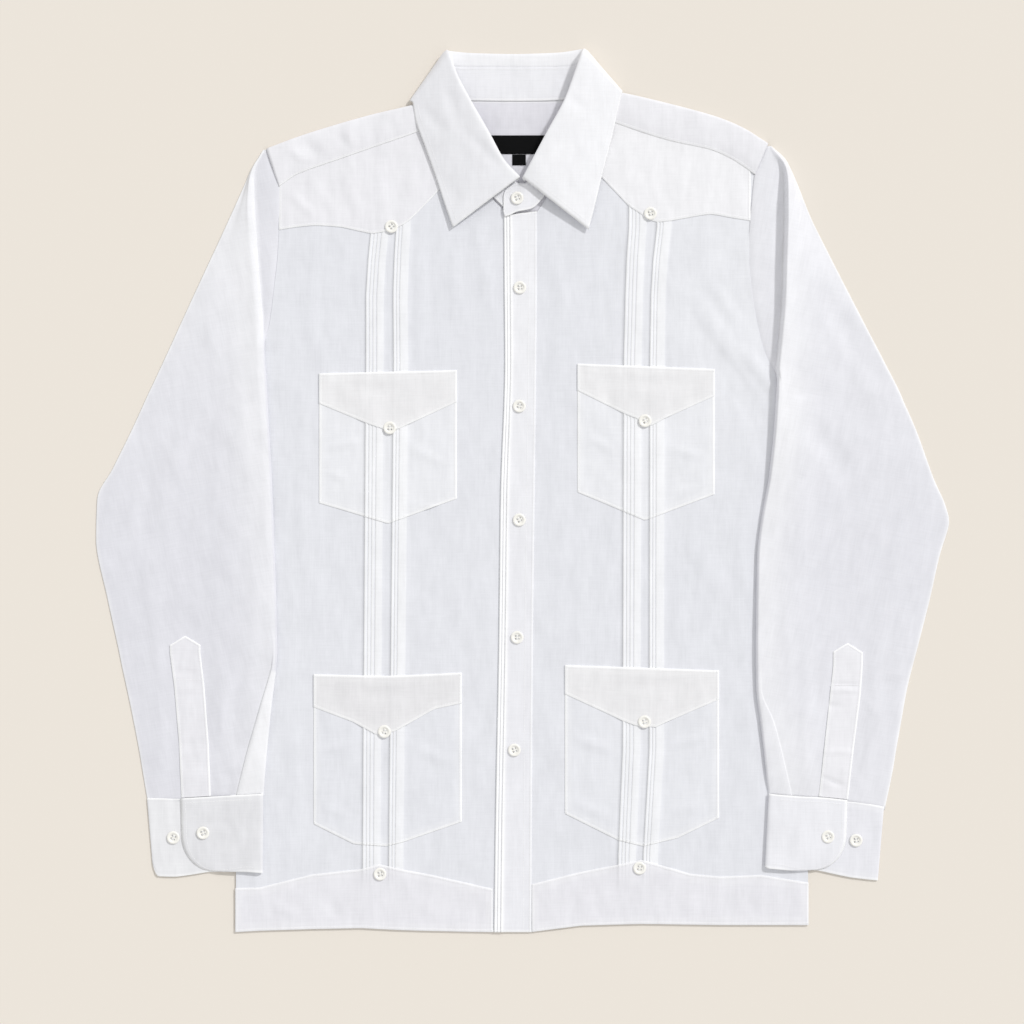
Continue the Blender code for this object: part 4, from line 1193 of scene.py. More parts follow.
@dataclass
class Yokes:
    """The back, the back yoke that comes over the shoulders, and the two front yokes."""

    finishes: Finishes
    fronts: Fronts
    seam_y: float = 253.5
    fold: float = 1.5
    bulge: float = 0.8
    back_cut: Pair = (528, 662)
    yoke_cut: Pair = (464, 156)
    front_cut: Pair = (166, 105)
    back_yoke: tuple[Shoulder, ...] = (
        Shoulder(-224, -234.5, 314.5, -223.9, 279.2), Shoulder(-206, -205, 325.5, -209, 289.6),
        Shoulder(-172, -173.5, 335.5, -168, 304.6), Shoulder(-136, -138, 345.5, -132, 317.2),
        Shoulder(-103, -104.5, 353.2, -97, 329.6), Shoulder(-80, -79.5, 359.5, -77.5, 339.2),
        Shoulder(-45, -50, 357.7), Shoulder(-7, -7, 357.4),
        Shoulder(33, 38, 357.6), Shoulder(54, 55, 361.2),
        Shoulder(72, 71, 368.8, 67.5, 343.6), Shoulder(93, 93, 365, 85.5, 337.6),
        Shoulder(136, 138.5, 354.5, 135, 321.6), Shoulder(176, 182.5, 342, 173.2, 313.1),
        Shoulder(196, 206, 331.5, 191.2, 305.2), Shoulder(208.5, 223, 320, 214, 290.2),
    )
    front_right: tuple[Edge, ...] = (
        Edge(-223.9, 280.4, 239.5), Edge(-209, 291.5, 242), Edge(-190, 298.5, 243.7), Edge(-168, 306.5, 242.3),
        Edge(-150, 312.7, 238.5), Edge(-138.5, 316.8, 236.3), Edge(-126.5, 321, 238), Edge(-115, 325, 241.8),
        Edge(-104.5, 328.8, 248), Edge(-97, 331.5, 255), Edge(-84, 336.6, 268.5), Edge(-77, 339.5, 276),
        Edge(-67, 318, 287.5), Edge(-60, 307, 296),
    )
    front_left: tuple[Edge, ...] = (
        Edge(53, 311, 306), Edge(60, 328, 299.5), Edge(68, 342.8, 292.5), Edge(85.5, 339.5, 274.5),
        Edge(98, 335.5, 261.5), Edge(110, 331.6, 253.5), Edge(117, 329.3, 248.5), Edge(124.5, 326.9, 246.8),
        Edge(135, 323.5, 247.8), Edge(147.5, 320.7, 250), Edge(173, 315, 254), Edge(191, 307, 251),
        Edge(209.5, 294.2, 248),
    )
    strip_folds: tuple[Fold, ...] = (
        Fold(-218, 316, -196, 300, 5, 1.1), Fold(-204, 322, -180, 304, 5, -1),
        Fold(-190, 330, -178, 304, 6, 1), Fold(-176, 332, -156, 312, 5, -0.9),
        Fold(-164, 338, -154, 310, 5, 0.9), Fold(-142, 344, -136, 318, 6, -0.7),
        Fold(-118, 350, -112, 326, 6, 0.8), Fold(98, 362, 94, 336, 6, 0.7), Fold(118, 358, 112, 330, 6, -0.8),
        Fold(134, 355, 126, 324, 5, 0.7), Fold(152, 350, 142, 320, 6, -0.7), Fold(172, 342, 162, 316, 6, 0.8),
        Fold(188, 336, 176, 314, 5, -0.8), Fold(206, 328, 192, 306, 6, 0.9),
    )
    yoke_folds: tuple[Fold, ...] = (
        Fold(-216, 276, -190, 250, 7, 0.9), Fold(-196, 288, -170, 252, 8, 0.7),
        Fold(-166, 296, -148, 246, 8, 0.8), Fold(-132, 306, -126, 246, 8, 0.6),
        Fold(-104, 318, -102, 262, 8, 0.6), Fold(202, 288, 186, 256, 8, 0.8),
        Fold(176, 302, 166, 262, 8, 0.6), Fold(150, 308, 142, 258, 8, 0.6), Fold(118, 316, 120, 256, 8, 0.6),
        Fold(96, 322, 94, 276, 8, 0.5),
    )

    def back(self) -> None:
        """Makes the back, flat on the surface."""
        below = LOWEST_Y + 487.5 * steps_along(487.5, 12, fine_end=False)
        levels = np.concatenate([below, np.linspace(88, 253.2, 24)])
        share = steps_along(500, 12)
        y = np.repeat(levels[:, None], len(share), axis=1)
        x = between(self.fronts.side_edge(Side.RIGHT, y), self.fronts.side_edge(Side.LEFT, y), share)
        y = self.fronts.to_hem(x, y)
        sheet = Sheet(np.stack([x, y, np.full_like(x, BACK_Z)], axis=2), np.zeros_like(x))
        piece = place_piece(sheet.object("shirt_back", self.finishes.single), "linen", "back")
        declare(sheet, self.back_cut)

    def yoke(self) -> list[Array]:
        """Makes the back yoke.

        Returns:
            The lines of its stitching in front.
        """
        columns = []
        for place in self.back_yoke:
            low = (self.seam_y, 278, min(300, place.top_y - 9), min(328, place.top_y - 6),
                   min(346, place.top_y - 3.5), place.top_y - self.fold)
            path = []
            for y in low:
                x = between(place.low_x, place.top_x, (y - self.seam_y) / (place.top_y - self.seam_y))
                if place is self.back_yoke[0]:
                    x = float(self.fronts.side_edge(Side.RIGHT, y))
                if place is self.back_yoke[-1]:
                    x = float(self.fronts.side_edge(Side.LEFT, y))
                path.append((x, y, BACK_Z + float(self.fronts.lift(x, y))))
            x, y, z = path[-1]
            seam = (x, y) if place.hidden else (place.seam_x, place.seam_y)
            seam_z = z if place.hidden else APPLIED_Z + 0.7 + float(self.fronts.lift(*seam))
            path.append((place.top_x, place.top_y, z if place.hidden else z + self.fold))
            for share in (0.0, 0.33, 0.67, 1.0):
                bulge = 0.0 if place.hidden else self.bulge * math.sin(math.pi * share)
                path.append((between(x, seam[0], share), between(y, seam[1], share),
                             between(z + 2 * self.fold, seam_z, share) + bulge))
            columns.append(path)
        grid = np.array(columns).transpose(1, 0, 2)[::-1].copy()
        cells = [3 if a.hidden and b.hidden else 10 for a, b in zip(self.back_yoke, self.back_yoke[1:])]
        row_cells = (12, 5, 5, 3, 3, 2, 3, 3, 4, 4)
        fine = refine(grid, row_cells, cells)
        at = np.concatenate([np.arange(n) / n + i for i, n in enumerate(cells)] + [[len(self.back_yoke) - 1]])
        gone = np.zeros(fine.shape[:2], bool)
        front_rows = sum(row_cells[:4])
        for column_at, place in enumerate(at):
            if self.back_yoke[math.floor(place)].hidden or self.back_yoke[math.ceil(place)].hidden:
                gone[:front_rows, column_at] = True
        fine[:front_rows, :, 2] += ridges(self.strip_folds, fine[:front_rows, :, 0], fine[:front_rows, :, 1])
        white = 0.38 * (np.arange(len(fine)) < front_rows + 3)
        sheet = Sheet(fine, white[:, None] * np.ones(fine.shape[1]), gone)
        sheet.turned_edges([Rim.FIRST_ROW], white=0.9)
        piece = place_piece(sheet.object("shoulder_yoke", self.finishes.double), "linen_double", "back_yoke")
        declare(sheet, self.yoke_cut)
        line = sheet.inset_line(Rim.FIRST_ROW, 2.2, trim=0)
        solid = ~gone[0]
        middle = int(len(solid) / 2)
        return [line[: int(np.argmin(solid[:middle]))], line[middle + int(np.argmax(solid[middle:])):]]

    def front_yokes(self) -> list[Array]:
        """Makes the two front yokes.

        Returns:
            The lines of their stitching.
        """
        lines = []
        for side, edges in ((Side.RIGHT, self.front_right), (Side.LEFT, self.front_left)):
            x = edges[0].x + (edges[-1].x - edges[0].x) * steps_along(edges[-1].x - edges[0].x, 2.4)
            share = steps_along(76, 2.6)[:, None]
            low = straight(edges, "x", "low", x) * 0.4 + smooth(edges, "x", "low", x) * 0.6
            top = straight(edges, "x", "top", x)
            y = low + share * (top - low)
            x = x + np.zeros_like(y)
            z = APPLIED_Z + 0.1 + self.fronts.lift(x, y) + ridges(self.yoke_folds, x, y)
            z = z + 0.6 * self.fronts.tuck(side, x, y)
            # Painted light: the wearer's left yoke, towards the key light, whiter
            white = 0.36 if side is Side.RIGHT else 0.58
            sheet = Sheet(np.stack([x, y, z], axis=2), np.full(z.shape, white))
            outer = Rim.FIRST_COLUMN if side is Side.RIGHT else Rim.LAST_COLUMN
            sheet.turned_edges([Rim.FIRST_ROW, outer])
            piece = place_piece(sheet.object(f"chest_yoke_{side.word}", self.finishes.double), "linen_double",
                                f"front_yoke_{side.word}")
            declare(sheet, self.front_cut)
            lines += [sheet.inset_line(Rim.FIRST_ROW, 2.0), sheet.inset_line(outer, 2.0)]
        return lines

    def build(self) -> list[Array]:
        """Makes the back and the yokes and returns the lines of their stitching."""
        self.back()
        return self.yoke() + self.front_yokes()


# ---- sleeves and cuffs


@dataclass
class Sleeve:
    """A sleeve laid down over the side of the body: one cut piece, folded flat."""

    finishes: Finishes
    fronts: Fronts
    side: Side
    head: tuple[Head, ...]
    arm: tuple[Arm, ...]
    end: tuple[Point, ...]
    placket: tuple[Span, ...]
    folds: tuple[Fold, ...]
    # Painted light: how much whiter the sleeve is near its inner fold, by height up the body
    painted_light_along: tuple[tuple[float, ...], tuple[float, ...]]
    # Painted light and shade: how much whiter the sleeve is, by height up the body
    white: tuple[tuple[float, ...], tuple[float, ...]]
    placket_folds: tuple[Fold, ...] = ()
    round: float = 0.0
    inset: float = 2.0
    crown: float = 0.8
    # Painted light on the turned-under wedge below the pleat
    strip_white: float = 0.0
    # How much of that painted light and shade reaches the columns from the armhole to the foot
    white_under: float = 1.3
    slack: float = 3.0
    wall: float = 0.7
    cut: Pair = (330, 630)
    placket_cut: Pair = (42, 148)
    shell: tuple[slice, Array] | None = None

    def over_body(self, x: Array, y: Array) -> Array:
        """How far the sleeve is held up by the body under it."""
        outside = np.abs(x) - np.abs(self.fronts.side_edge(self.side, y))
        return 2 * LAYER * (1 - ease(outside / 14))

    def head_path(self, row: Head) -> list[Pair]:
        """The first columns of a head row, from under the body's edge to the sleeve's raised edge.

        Args:
            row: The row.

        Returns:
            The place across and the height of each column.
        """
        out = self.side.value
        seam = float(self.fronts.side_edge(self.side, row.y))
        seam_z = APPLIED_Z - 0.4 if row.y > 235 else FRONT_Z - 0.75
        lip = seam + out * 1.2
        room = abs(row.outer - row.edge)
        return [
            (seam - out * 2.0, seam_z), (seam - out * 1.0, seam_z), (lip, seam_z + 0.8),
            (row.strip, row.strip_z), (row.foot, row.foot_z),
            (row.edge + out * self.round * min(2.5, 0.2 * room), between(row.foot_z, row.edge_z, 0.65)),
            (row.edge + out * min(1.5 + 6.5 * self.round, 0.5 * room), row.edge_z),
        ]

    def arm_path(self, row: Arm) -> list[Pair]:
        """The first columns of an arm row, from the underarm seam round the inner fold and over its pleat.

        Args:
            row: The row.

        Returns:
            The place across and the height of each column.
        """
        out = self.side.value
        low_z = BACK_Z + 2 * LAYER
        inset = min(self.inset, 0.36 * abs(row.seam - row.fold))
        rest = float(self.fronts.side_edge(self.side, row.y)) + out
        if row.y > self.fronts.armpit_y:
            rest = between(row.seam, row.fold + out * inset, 0.5)
        ledge = max(abs(row.pleat - row.fold), inset + 1.2 + 5.5 * self.round * (row.y > -145))
        return [
            (row.seam, BACK_Z + float(self.over_body(row.seam, row.y))), (rest, low_z),
            (row.fold + out * inset, low_z), (row.fold, between(low_z, row.pleat_z, 0.4)),
            (row.fold + out * inset, between(low_z, row.pleat_z, 1 - 0.35 * self.round)),
            (row.fold + out * ledge, row.pleat_z), (row.fold + out * (ledge + 0.9), row.edge_z),
        ]

    def control(self) -> Array:
        """The coarse grid of the sleeve.

        Returns:
            Its rows, from the head down to the cuff.
        """
        out = self.side.value
        rows = []
        for row in (*self.head, *self.arm):
            in_head = isinstance(row, Head)
            inner = self.head_path(row) if in_head else self.arm_path(row)
            start_x, start_z = inner[-1]
            inset = out * min(self.inset, 0.25 * abs(row.outer - start_x))
            upper = []
            for share in (0.2, 0.5, 0.8):
                x = between(start_x, row.outer - inset, share)
                lift = 0.0 if in_head else float(self.over_body(x, row.y) * ease((135 - row.y) / 80))
                flat = BACK_Z + LAYER + self.crown + lift
                narrow = max(0.0, min(1.0, (60 - abs(row.outer - start_x)) / 30)) * in_head
                soft = flat + (start_z - flat) * math.exp(-abs(x - start_x) / 24)
                upper.append((x, between(soft, between(start_z, 1.3, share), narrow)))
            body_x = float(self.fronts.side_edge(self.side, row.y))
            end_x = body_x + out * 1.4 if in_head else row.seam + out * 0.3
            under_x = between(row.outer, end_x, 0.75)
            lift = float(self.over_body(under_x, row.y)) if row.y < self.fronts.armpit_y else 0.0
            upper[-1] = (upper[-1][0], upper[-1][1] - 0.5)
            path = [*inner, *upper, (row.outer - inset, 1.05), (row.outer - out * 0.3, 0.7),
                    (row.outer - inset, 0.4), (under_x, BACK_Z + lift), (end_x, BACK_Z)]
            rows.append([(x, row.y, z) for x, z in path])
        return np.array(rows)

    def sheet(self) -> Sheet:
        """The sleeve's fine grid, with its soft folds.

        Returns:
            The grid.
        """
        grid = self.control()
        gaps = np.abs(np.diff(grid[:, 0, 1]))
        row_cells = [max(int(gap / 3.4), 2) for gap in gaps]
        column_cells = (2, 2, 3, 3, 3, 3, 8, 10, 10, 6, 3, 3, 8, 4)
        fine = refine(grid, row_cells, column_cells)
        head_rows = sum(row_cells[: len(self.head)])
        gone = np.zeros(fine.shape[:2], bool)
        gone[:head_rows, :2] = True
        upper = slice(sum(column_cells[:4]), sum(column_cells[:10]) + 1)
        x, y = fine[:, upper, 0], fine[:, upper, 1]
        fine[:, upper, 2] = np.maximum(fine[:, upper, 2] + ridges(self.folds, x, y), 1.05)
        low = np.interp(fine[-1, :, 0], column(self.end, "x"), column(self.end, "y")) - self.slack
        near = 1 - np.clip((fine[:, :, 1] - fine[-1:, :, 1]) / 40, 0, 1)
        fine[:, :, 1] += near * (low - fine[-1, :, 1])
        tucked = 1.9 * np.exp(-(((fine[:, :, 1] - low) / 15) ** 2)) * np.clip((fine[:, :, 2] - 1.5) / 3, 0, 1)
        fine[:, :, 2] -= tucked
        layers_and_painted_light = np.zeros(fine.shape[:2])
        start = fine[:, sum(column_cells[:5]), 0][:, None]
        away = np.abs(fine[:, :, 0] - start)
        # Painted light near the inner fold, where the sleeve turns away from the key light
        inner_painted_light = np.interp(fine[:, :, 1], *self.painted_light_along)
        layers_and_painted_light[:, upper] = np.maximum(layers_and_painted_light, inner_painted_light * np.exp(-((away / 26) ** 2)))[:, upper]
        # Painted highlight along the outer fold
        outer = np.abs(fine[:, :, 0] - np.abs(fine[:, :, 0]).max(axis=1, keepdims=True) * self.side.value)
        layers_and_painted_light = np.maximum(layers_and_painted_light, 0.6 * np.exp(-((outer / 1.6) ** 2)))
        # Painted highlight along the pleat's edge
        pleat = fine[:, sum(column_cells[:6]), 0][:, None]
        edge = np.exp(-(((fine[:, :, 0] - pleat) / 1.0) ** 2)) * (fine[:, :, 1] < -160)
        layers_and_painted_light = np.maximum(layers_and_painted_light, 0.5 * edge)
        # Painted light on the turned-under wedge, which slopes towards the key light
        turned_under = (np.arange(fine.shape[1]) <= sum(column_cells[:6])) & (fine[:, :, 1] < -165)
        layers_and_painted_light = np.maximum(layers_and_painted_light, self.strip_white * turned_under)
        # Painted light and shade along the sleeve
        past_foot = np.arange(fine.shape[1]) > sum(column_cells[:4])
        white = np.interp(fine[:, :, 1], *self.white) * np.where(past_foot, 1.0, self.white_under)
        layers_and_painted_light = layers_and_painted_light + white * (1 - layers_and_painted_light)
        sheet = Sheet(fine, layers_and_painted_light, gone, grain=-11.0 * self.side.value)
        if self.side is Side.LEFT:
            sheet = Sheet(fine[::-1].copy(), layers_and_painted_light[::-1].copy(), gone[::-1].copy(), grain=-11.0)
        self.shell = (upper, fine)
        return sheet

    def top(self, x: Array, y: Array) -> Array:
        """Height of the sleeve's upper layer at points of the lower arm.

        Args:
            x: Places across.
            y: Places along.

        Returns:
            The height at each point.
        """
        upper, fine = self.shell
        out = self.side.value
        columns = fine[:, upper]
        result = np.zeros(np.broadcast(x, y).shape)
        flat_x, flat_y = np.broadcast_arrays(x, y)
        ys = columns[:, 0, 1]
        for index in np.ndindex(result.shape):
            i = int(np.clip(np.searchsorted(-ys, -flat_y[index]) - 1, 0, len(ys) - 2))
            heights = [np.interp(out * flat_x[index], out * columns[k, :, 0], columns[k, :, 2])
                       for k in (i, i + 1)]
            share = (ys[i] - flat_y[index]) / max(ys[i] - ys[i + 1], 1e-6)
            result[index] = between(heights[0], heights[1], np.clip(share, 0, 1))
        return result

    def strip(self) -> list[Array]:
        """Makes the pointed placket above the cuff.

        Returns:
            The lines of its stitching.
        """
        levels = -134 - 145 * steps_along(145, 1.7)[::-1]
        width = 27.0
        share = steps_along(width, 3.0)
        y = np.repeat(levels[:, None], len(share), axis=1)
        rows = self.placket
        tip = rows[0]
        right, left = straight(rows[1:], "y", "right", y), straight(rows[1:], "y", "left", y)
        x = between(right, left, share)
        middle, half = (right + left) / 2, (left - right) / 2
        shoulder = between(tip.y, rows[1].y, np.clip(np.abs(x - (tip.right + tip.left) / 2) / half, 0, 1))
        top = np.repeat(shoulder[-1:], len(levels), axis=0)
        down = (y[-1] - y) / (y[-1] - y[0])
        y = between(top, y[:1], down)
        ends = np.interp(x[0], column(self.end, "x"), column(self.end, "y")) + 0.2
        y = y + down**4 * (ends - y[0])
        z = self.top(x, y) + 1.1
        z = z + ridges(self.placket_folds, x, y)
        # Painted light: the wearer's left placket, towards the key light, whiter
        white = 0.28 if self.side is Side.RIGHT else 0.36
        sheet = Sheet(np.stack([x, y, z], axis=2), np.full(z.shape, white))
        sheet.turned_edges([Rim.FIRST_COLUMN, Rim.LAST_COLUMN, Rim.LAST_ROW])
        strip = sheet.object(f"sleeve_opening_{self.side.word}", self.finishes.double)
        piece = place_piece(strip, "linen_double", f"sleeve_placket_{self.side.word}")
        declare(sheet, self.placket_cut)
        lines = [sheet.inset_line(edge, 2.0) for edge in (Rim.FIRST_COLUMN, Rim.LAST_COLUMN, Rim.LAST_ROW)]
        seam_x = between(self.placket[2].right + 1, self.placket[2].left - 1, np.linspace(0, 1, 12))
        seam_y = np.full_like(seam_x, self.placket[2].y)
        return [*lines, np.stack([seam_x, seam_y, self.top(seam_x, seam_y) + 1.1 + WALL / 2], axis=1)]

    def build(self) -> list[Array]:
        """Makes the sleeve and its placket.

        Returns:
            The lines of their stitching.
        """
        sheet = self.sheet()
        cloth = sheet.object(f"shirt_sleeve_{self.side.word}", self.finishes.sleeve, wall=self.wall)
        piece = place_piece(cloth, "linen", f"sleeve_{self.side.word}")
        declare(sheet, self.cut)
        return self.strip()


@dataclass
class Cuff:
    """A cuff: an interlined strip folded flat, with its rounded upper end over the lower one."""

    finishes: Finishes
    cloth: bpy.types.Material
    side: Side
    turns: tuple[Turn, ...]
    folds: tuple[Fold, ...]
    white: float = 0.05
    white_under: float = 0.28
    corner: float = 27.0
    wall: float = 0.9
    cut: Pair = (300, 76)

    def build(self) -> list[Array]:
        """Makes the cuff.

        Returns:
            The lines of its stitching.
        """
        share = steps_along(68, 3.0)
        table = np.array(self.turns)
        gaps = np.abs(np.diff(table[:, 0]))
        cells = [max(int(gap / 3.2), 4) for gap in gaps]
        grid = np.empty((len(share), len(table), 3))
        for n, place in enumerate(self.turns):
            x = between(place.x_top, place.x_low, share)
            y = between(place.y_top, place.y_low, share)
            grid[:, n] = np.stack([x, y, np.full_like(x, place.z)], axis=1)
        fine = refine(grid, [1] * (len(share) - 1), cells)
        away = np.abs(fine[:, :, 0] - fine[:, :1, 0])
        near = np.where(np.arange(fine.shape[1]) <= sum(cells[:3]), np.clip(1 - away / 62, 0, 1), 0)
        turned = np.clip((share - 0.52) / 0.48, 0, 1)
        fine[:, :, 0] -= self.side.value * self.corner * (1 - np.sqrt(1 - turned**2))[:, None] * near
        upper = sum(cells[:3])
        fine[:, :upper, 2] += ridges(self.folds, fine[:, :upper, 0], fine[:, :upper, 1])
        white = np.where(np.arange(fine.shape[1]) < sum(cells[:7]), self.white, self.white_under)
        sheet = Sheet(fine, white[None, :] * np.ones((len(share), 1)))
        sheet.turned_edges([Rim.FIRST_COLUMN, Rim.FIRST_ROW, Rim.LAST_ROW], drop=0.25, white=0.9)
        if self.side is Side.LEFT:
            sheet = Sheet(sheet.points[::-1].copy(), sheet.layers_and_painted_light[::-1].copy())
        piece = place_piece(sheet.object(f"shirt_cuff_{self.side.word}", self.cloth, wall=self.wall),
                            "linen_stiff", f"cuff_{self.side.word}")
        declare(sheet, self.cut)
        visible = Sheet(sheet.points[:, : upper + 1], sheet.layers_and_painted_light[:, : upper + 1])
        return [visible.inset_line(edge, 4.6, self.wall / 2, trim=4.6) for edge in
                (Rim.FIRST_ROW, Rim.LAST_ROW, Rim.FIRST_COLUMN)]


# ---- collar


@dataclass
class Collar:
    """The collar: a leaf that rolls over the top of a stand, both flattened behind the neck."""

    finishes: Finishes
    gap_front: float = 3.0
    gap_back: float = 2.0
    wall: float = 0.9
    rise: float = 4.0
    leaf_cut: Pair = (500, 80)
    stand_cut: Pair = (480, 42)
    folds: tuple[Fold, ...] = (
        Fold(-72, 374, -52, 322, 10, -1.3), Fold(-94, 354, -70, 326, 9, -0.9),
        Fold(-52, 330, -16, 290, 8, -1.1), Fold(-80, 300, -60, 262, 10, -0.5),
        Fold(36, 364, 62, 346, 8, -0.9), Fold(60, 330, 76, 300, 9, -0.4), Fold(30, 300, 56, 262, 10, -0.4),
    )
    sections: tuple[Section, ...] = (
        Section((-2.5, 287.5, 8.2), (-64, 241.5, 6.3), (-4.5, 284.5, 3.2), (-13.5, 256.5, 3.1), 0),
        Section((-16, 301.5, 9.2), (-70.5, 260, 6.2), (-20, 298.5, 5.0), (-42.5, 286.5, 3.2), 0),
        Section((-31.5, 329, 10.0), (-78.5, 284.5, 6.2), (-36.5, 325.5, 6.8), (-63, 316, 3.2), 0),
        Section((-48.5, 358.5, 10.8), (-89.5, 316, 6.6), (-54.5, 354.0, 7.6), (-73, 341, 4.4), 0),
        Section((-60.5, 381.5, 10.8), (-98, 340, 7.0), (-66.5, 374.0, 7.6), (-75, 354, 5.0), 0),
        Section((-67, 399.5, 9.6), (-101.0, 356.6, 7.2), (-68.5, 386.0, 6.6), (-76, 363.0, 5.0), 10),
        Section((-69.5, 404.0, 6.0), (-103.5, 358.0, 4.0), (-66.5, 389.0, 4.2), (-75.5, 364.0, 3.6), 90),
        Section((-66.0, 403.5, 2.0), (-98, 356.6, 0.5), (-62, 388.5, 2.6), (-72, 362.0, 1.9), 170),
        Section((-47, 401.8, 1.55), (-68, 351, 0.5), (-51, 388, 2.6), (-58, 358.8, 1.8), 180),
        Section((-27, 401.2, 1.55), (-38, 349, 0.5), (-29, 388, 2.6), (-32, 358.2, 1.8), 180),
        Section((-7, 400.9, 1.55), (-7, 348.5, 0.5), (-7, 388, 2.6), (-7, 358, 1.8), 180),
        Section((14, 401.4, 1.55), (24, 349.5, 0.5), (15, 388, 2.6), (18, 358.2, 1.8), 180),
        Section((35, 402.4, 1.55), (56, 352, 0.5), (38, 388.5, 2.6), (46, 360.2, 1.8), 180),
        Section((52.5, 405.0, 2.0), (86, 365.8, 0.5), (48, 389.5, 2.6), (62, 366.0, 1.9), 190),
        Section((56.5, 405.3, 6.0), (91.6, 366.6, 4.0), (53, 391.0, 4.2), (65.5, 373.0, 3.6), 270),
        Section((54.5, 401.5, 9.6), (91.0, 364.6, 7.2), (55.5, 388.0, 6.6), (66, 372.0, 5.0), 350),
        Section((47.5, 381.5, 10.8), (87, 347.5, 7.0), (53.5, 376.0, 7.6), (65, 361.0, 5.0), 360),
        Section((39, 358.5, 10.8), (81.5, 322.5, 6.6), (45, 354.5, 7.6), (62, 343.0, 4.4), 360),
        Section((23.5, 330, 10.0), (73, 289.5, 6.2), (28.5, 326.8, 6.8), (51.5, 318.5, 3.2), 360),
        Section((9.5, 304, 9.2), (66.5, 262.5, 6.2), (13.5, 301.5, 6.4), (33, 289.0, 3.6), 360),
        Section((0, 286.5, 8.2), (60.5, 239.5, 6.3), (1.5, 283.5, 6.0), (8.3, 259.0, 4.5), 360),
    )
    tab: tuple[Edge, ...] = (
        Edge(-5.5, 282.6, 256), Edge(-11.5, 279.5, 253), Edge(-15.8, 275.8, 252), Edge(-17.5, 271, 256.5))
    tab_z: float = 4.5
    cells: tuple[int, ...] = (7, 9, 9, 8, 7, 4, 4, 7, 6, 5, 5, 6, 7, 4, 4, 7, 8, 9, 9, 7)

    def leaf(self) -> Sheet:
        """The leaf's fine grid.

        Returns:
            The grid.
        """
        rows = []
        for section in self.sections:
            turn = math.radians(section.turn)
            outward = np.array([-math.sin(turn), 0, math.cos(turn)])
            gap = between(self.gap_back, self.gap_front, (1 + math.cos(turn)) / 2)
            roll, edge, seam = (np.array(p, float) for p in (section.roll, section.edge, section.seam))
            front = max(outward[2], 0) * ease((section.roll[2] - 7) / 3)
            roll[2] += self.rise * front
            edge[2] -= 1.4 * front
            seam += (0, -1.0 * max(-outward[2], 0), 0.6 * self.rise * front - 0.5 * max(-outward[2], 0))
            inner = between(roll, seam, 0.18) - outward * gap / 2
            outer = between(roll, edge, 0.04) + outward * gap / 2
            up = np.array([0, 0, 0.5 * max(outward[2], 0)])
            rows.append([seam, inner, roll, outer, between(outer, edge, 0.33) + up,
                         between(outer, edge, 0.68) + up * 0.7, edge])
        fine = refine(np.array(rows), self.cells, (3, 5, 5, 7, 8, 12))
        shown = fine[:, 13:]
        shown[:, :, 2] += ridges(self.folds, shown[:, :, 0], shown[:, :, 1]) * (shown[:, :, 2] > 3.5)
        # Painted light: the wearer's left leaf, tilted towards the key light, whiter
        sheet = Sheet(fine, 0.28 + 0.2 * ease((fine[:, :, 0] + 20) / 40))
        # Painted highlight along the roll of the leaf
        near = np.exp(-((sheet.lengths(Rim.FIRST_COLUMN) - 8) / 9) ** 2)
        sheet.layers_and_painted_light = np.maximum(sheet.layers_and_painted_light, 0.55 * near)
        sheet.turned_edges([Rim.FIRST_ROW, Rim.LAST_ROW, Rim.LAST_COLUMN], drop=0.2, white=0.9)
        return sheet

    def stand(self) -> Sheet:
        """The stand's fine grid, with its rounded tab.

        Returns:
            The grid.
        """
        rows = []
        for section in self.sections:
            seam, neck = np.array(section.seam, float), np.array(section.neck, float)
            top = between(seam, neck, 0.06 if abs(section.turn - 180) > 90 else -0.03)
            rows.append([top, between(top, neck, 0.5), neck])
        for place in self.tab:
            heights = (place.top, (place.top + place.low) / 2, place.low)
            rows.append([np.array([place.x, y, self.tab_z]) for y in heights])
        fine = refine(np.array(rows), (*self.cells, 4, 4, 3, 3), (16, 20))
        sheet = Sheet(fine, np.full(fine.shape[:2], 0.28))
        sheet.turned_edges([Rim.FIRST_ROW, Rim.LAST_ROW, Rim.LAST_COLUMN], drop=0.15, white=0.9)
        return sheet

    def build(self) -> list[Array]:
        """Makes the leaf and the stand.

        Returns:
            The lines of their stitching.
        """
        leaf, stand = self.leaf(), self.stand()
        for name, sheet, node, size in (("collar_fall", leaf, "collar_leaf", self.leaf_cut),
                                        ("collar_band", stand, "collar_stand", self.stand_cut)):
            piece = place_piece(sheet.object(name, self.finishes.stiff, wall=self.wall), "linen_stiff", node)
            declare(sheet, size)
        front = sum(self.cells[:5])
        last = leaf.points.shape[0] - 1
        lines = []
        for rows in (slice(0, front), slice(last - front, last + 1)):
            half = Sheet(leaf.points[rows, 12:], leaf.layers_and_painted_light[rows, 12:])
            lines.append(half.inset_line(Rim.LAST_COLUMN, 5.5, self.wall / 2, trim=5))
        ends = Sheet(leaf.points[:, 14:], leaf.layers_and_painted_light)
        lines += [ends.inset_line(edge, 5.5, self.wall / 2, trim=5) for edge in (Rim.FIRST_ROW, Rim.LAST_ROW)]
        edges = (Rim.LAST_COLUMN, Rim.FIRST_COLUMN, Rim.LAST_ROW)
        return lines + [stand.inset_line(edge, 2.0, self.wall / 2) for edge in edges]


# ---- trims


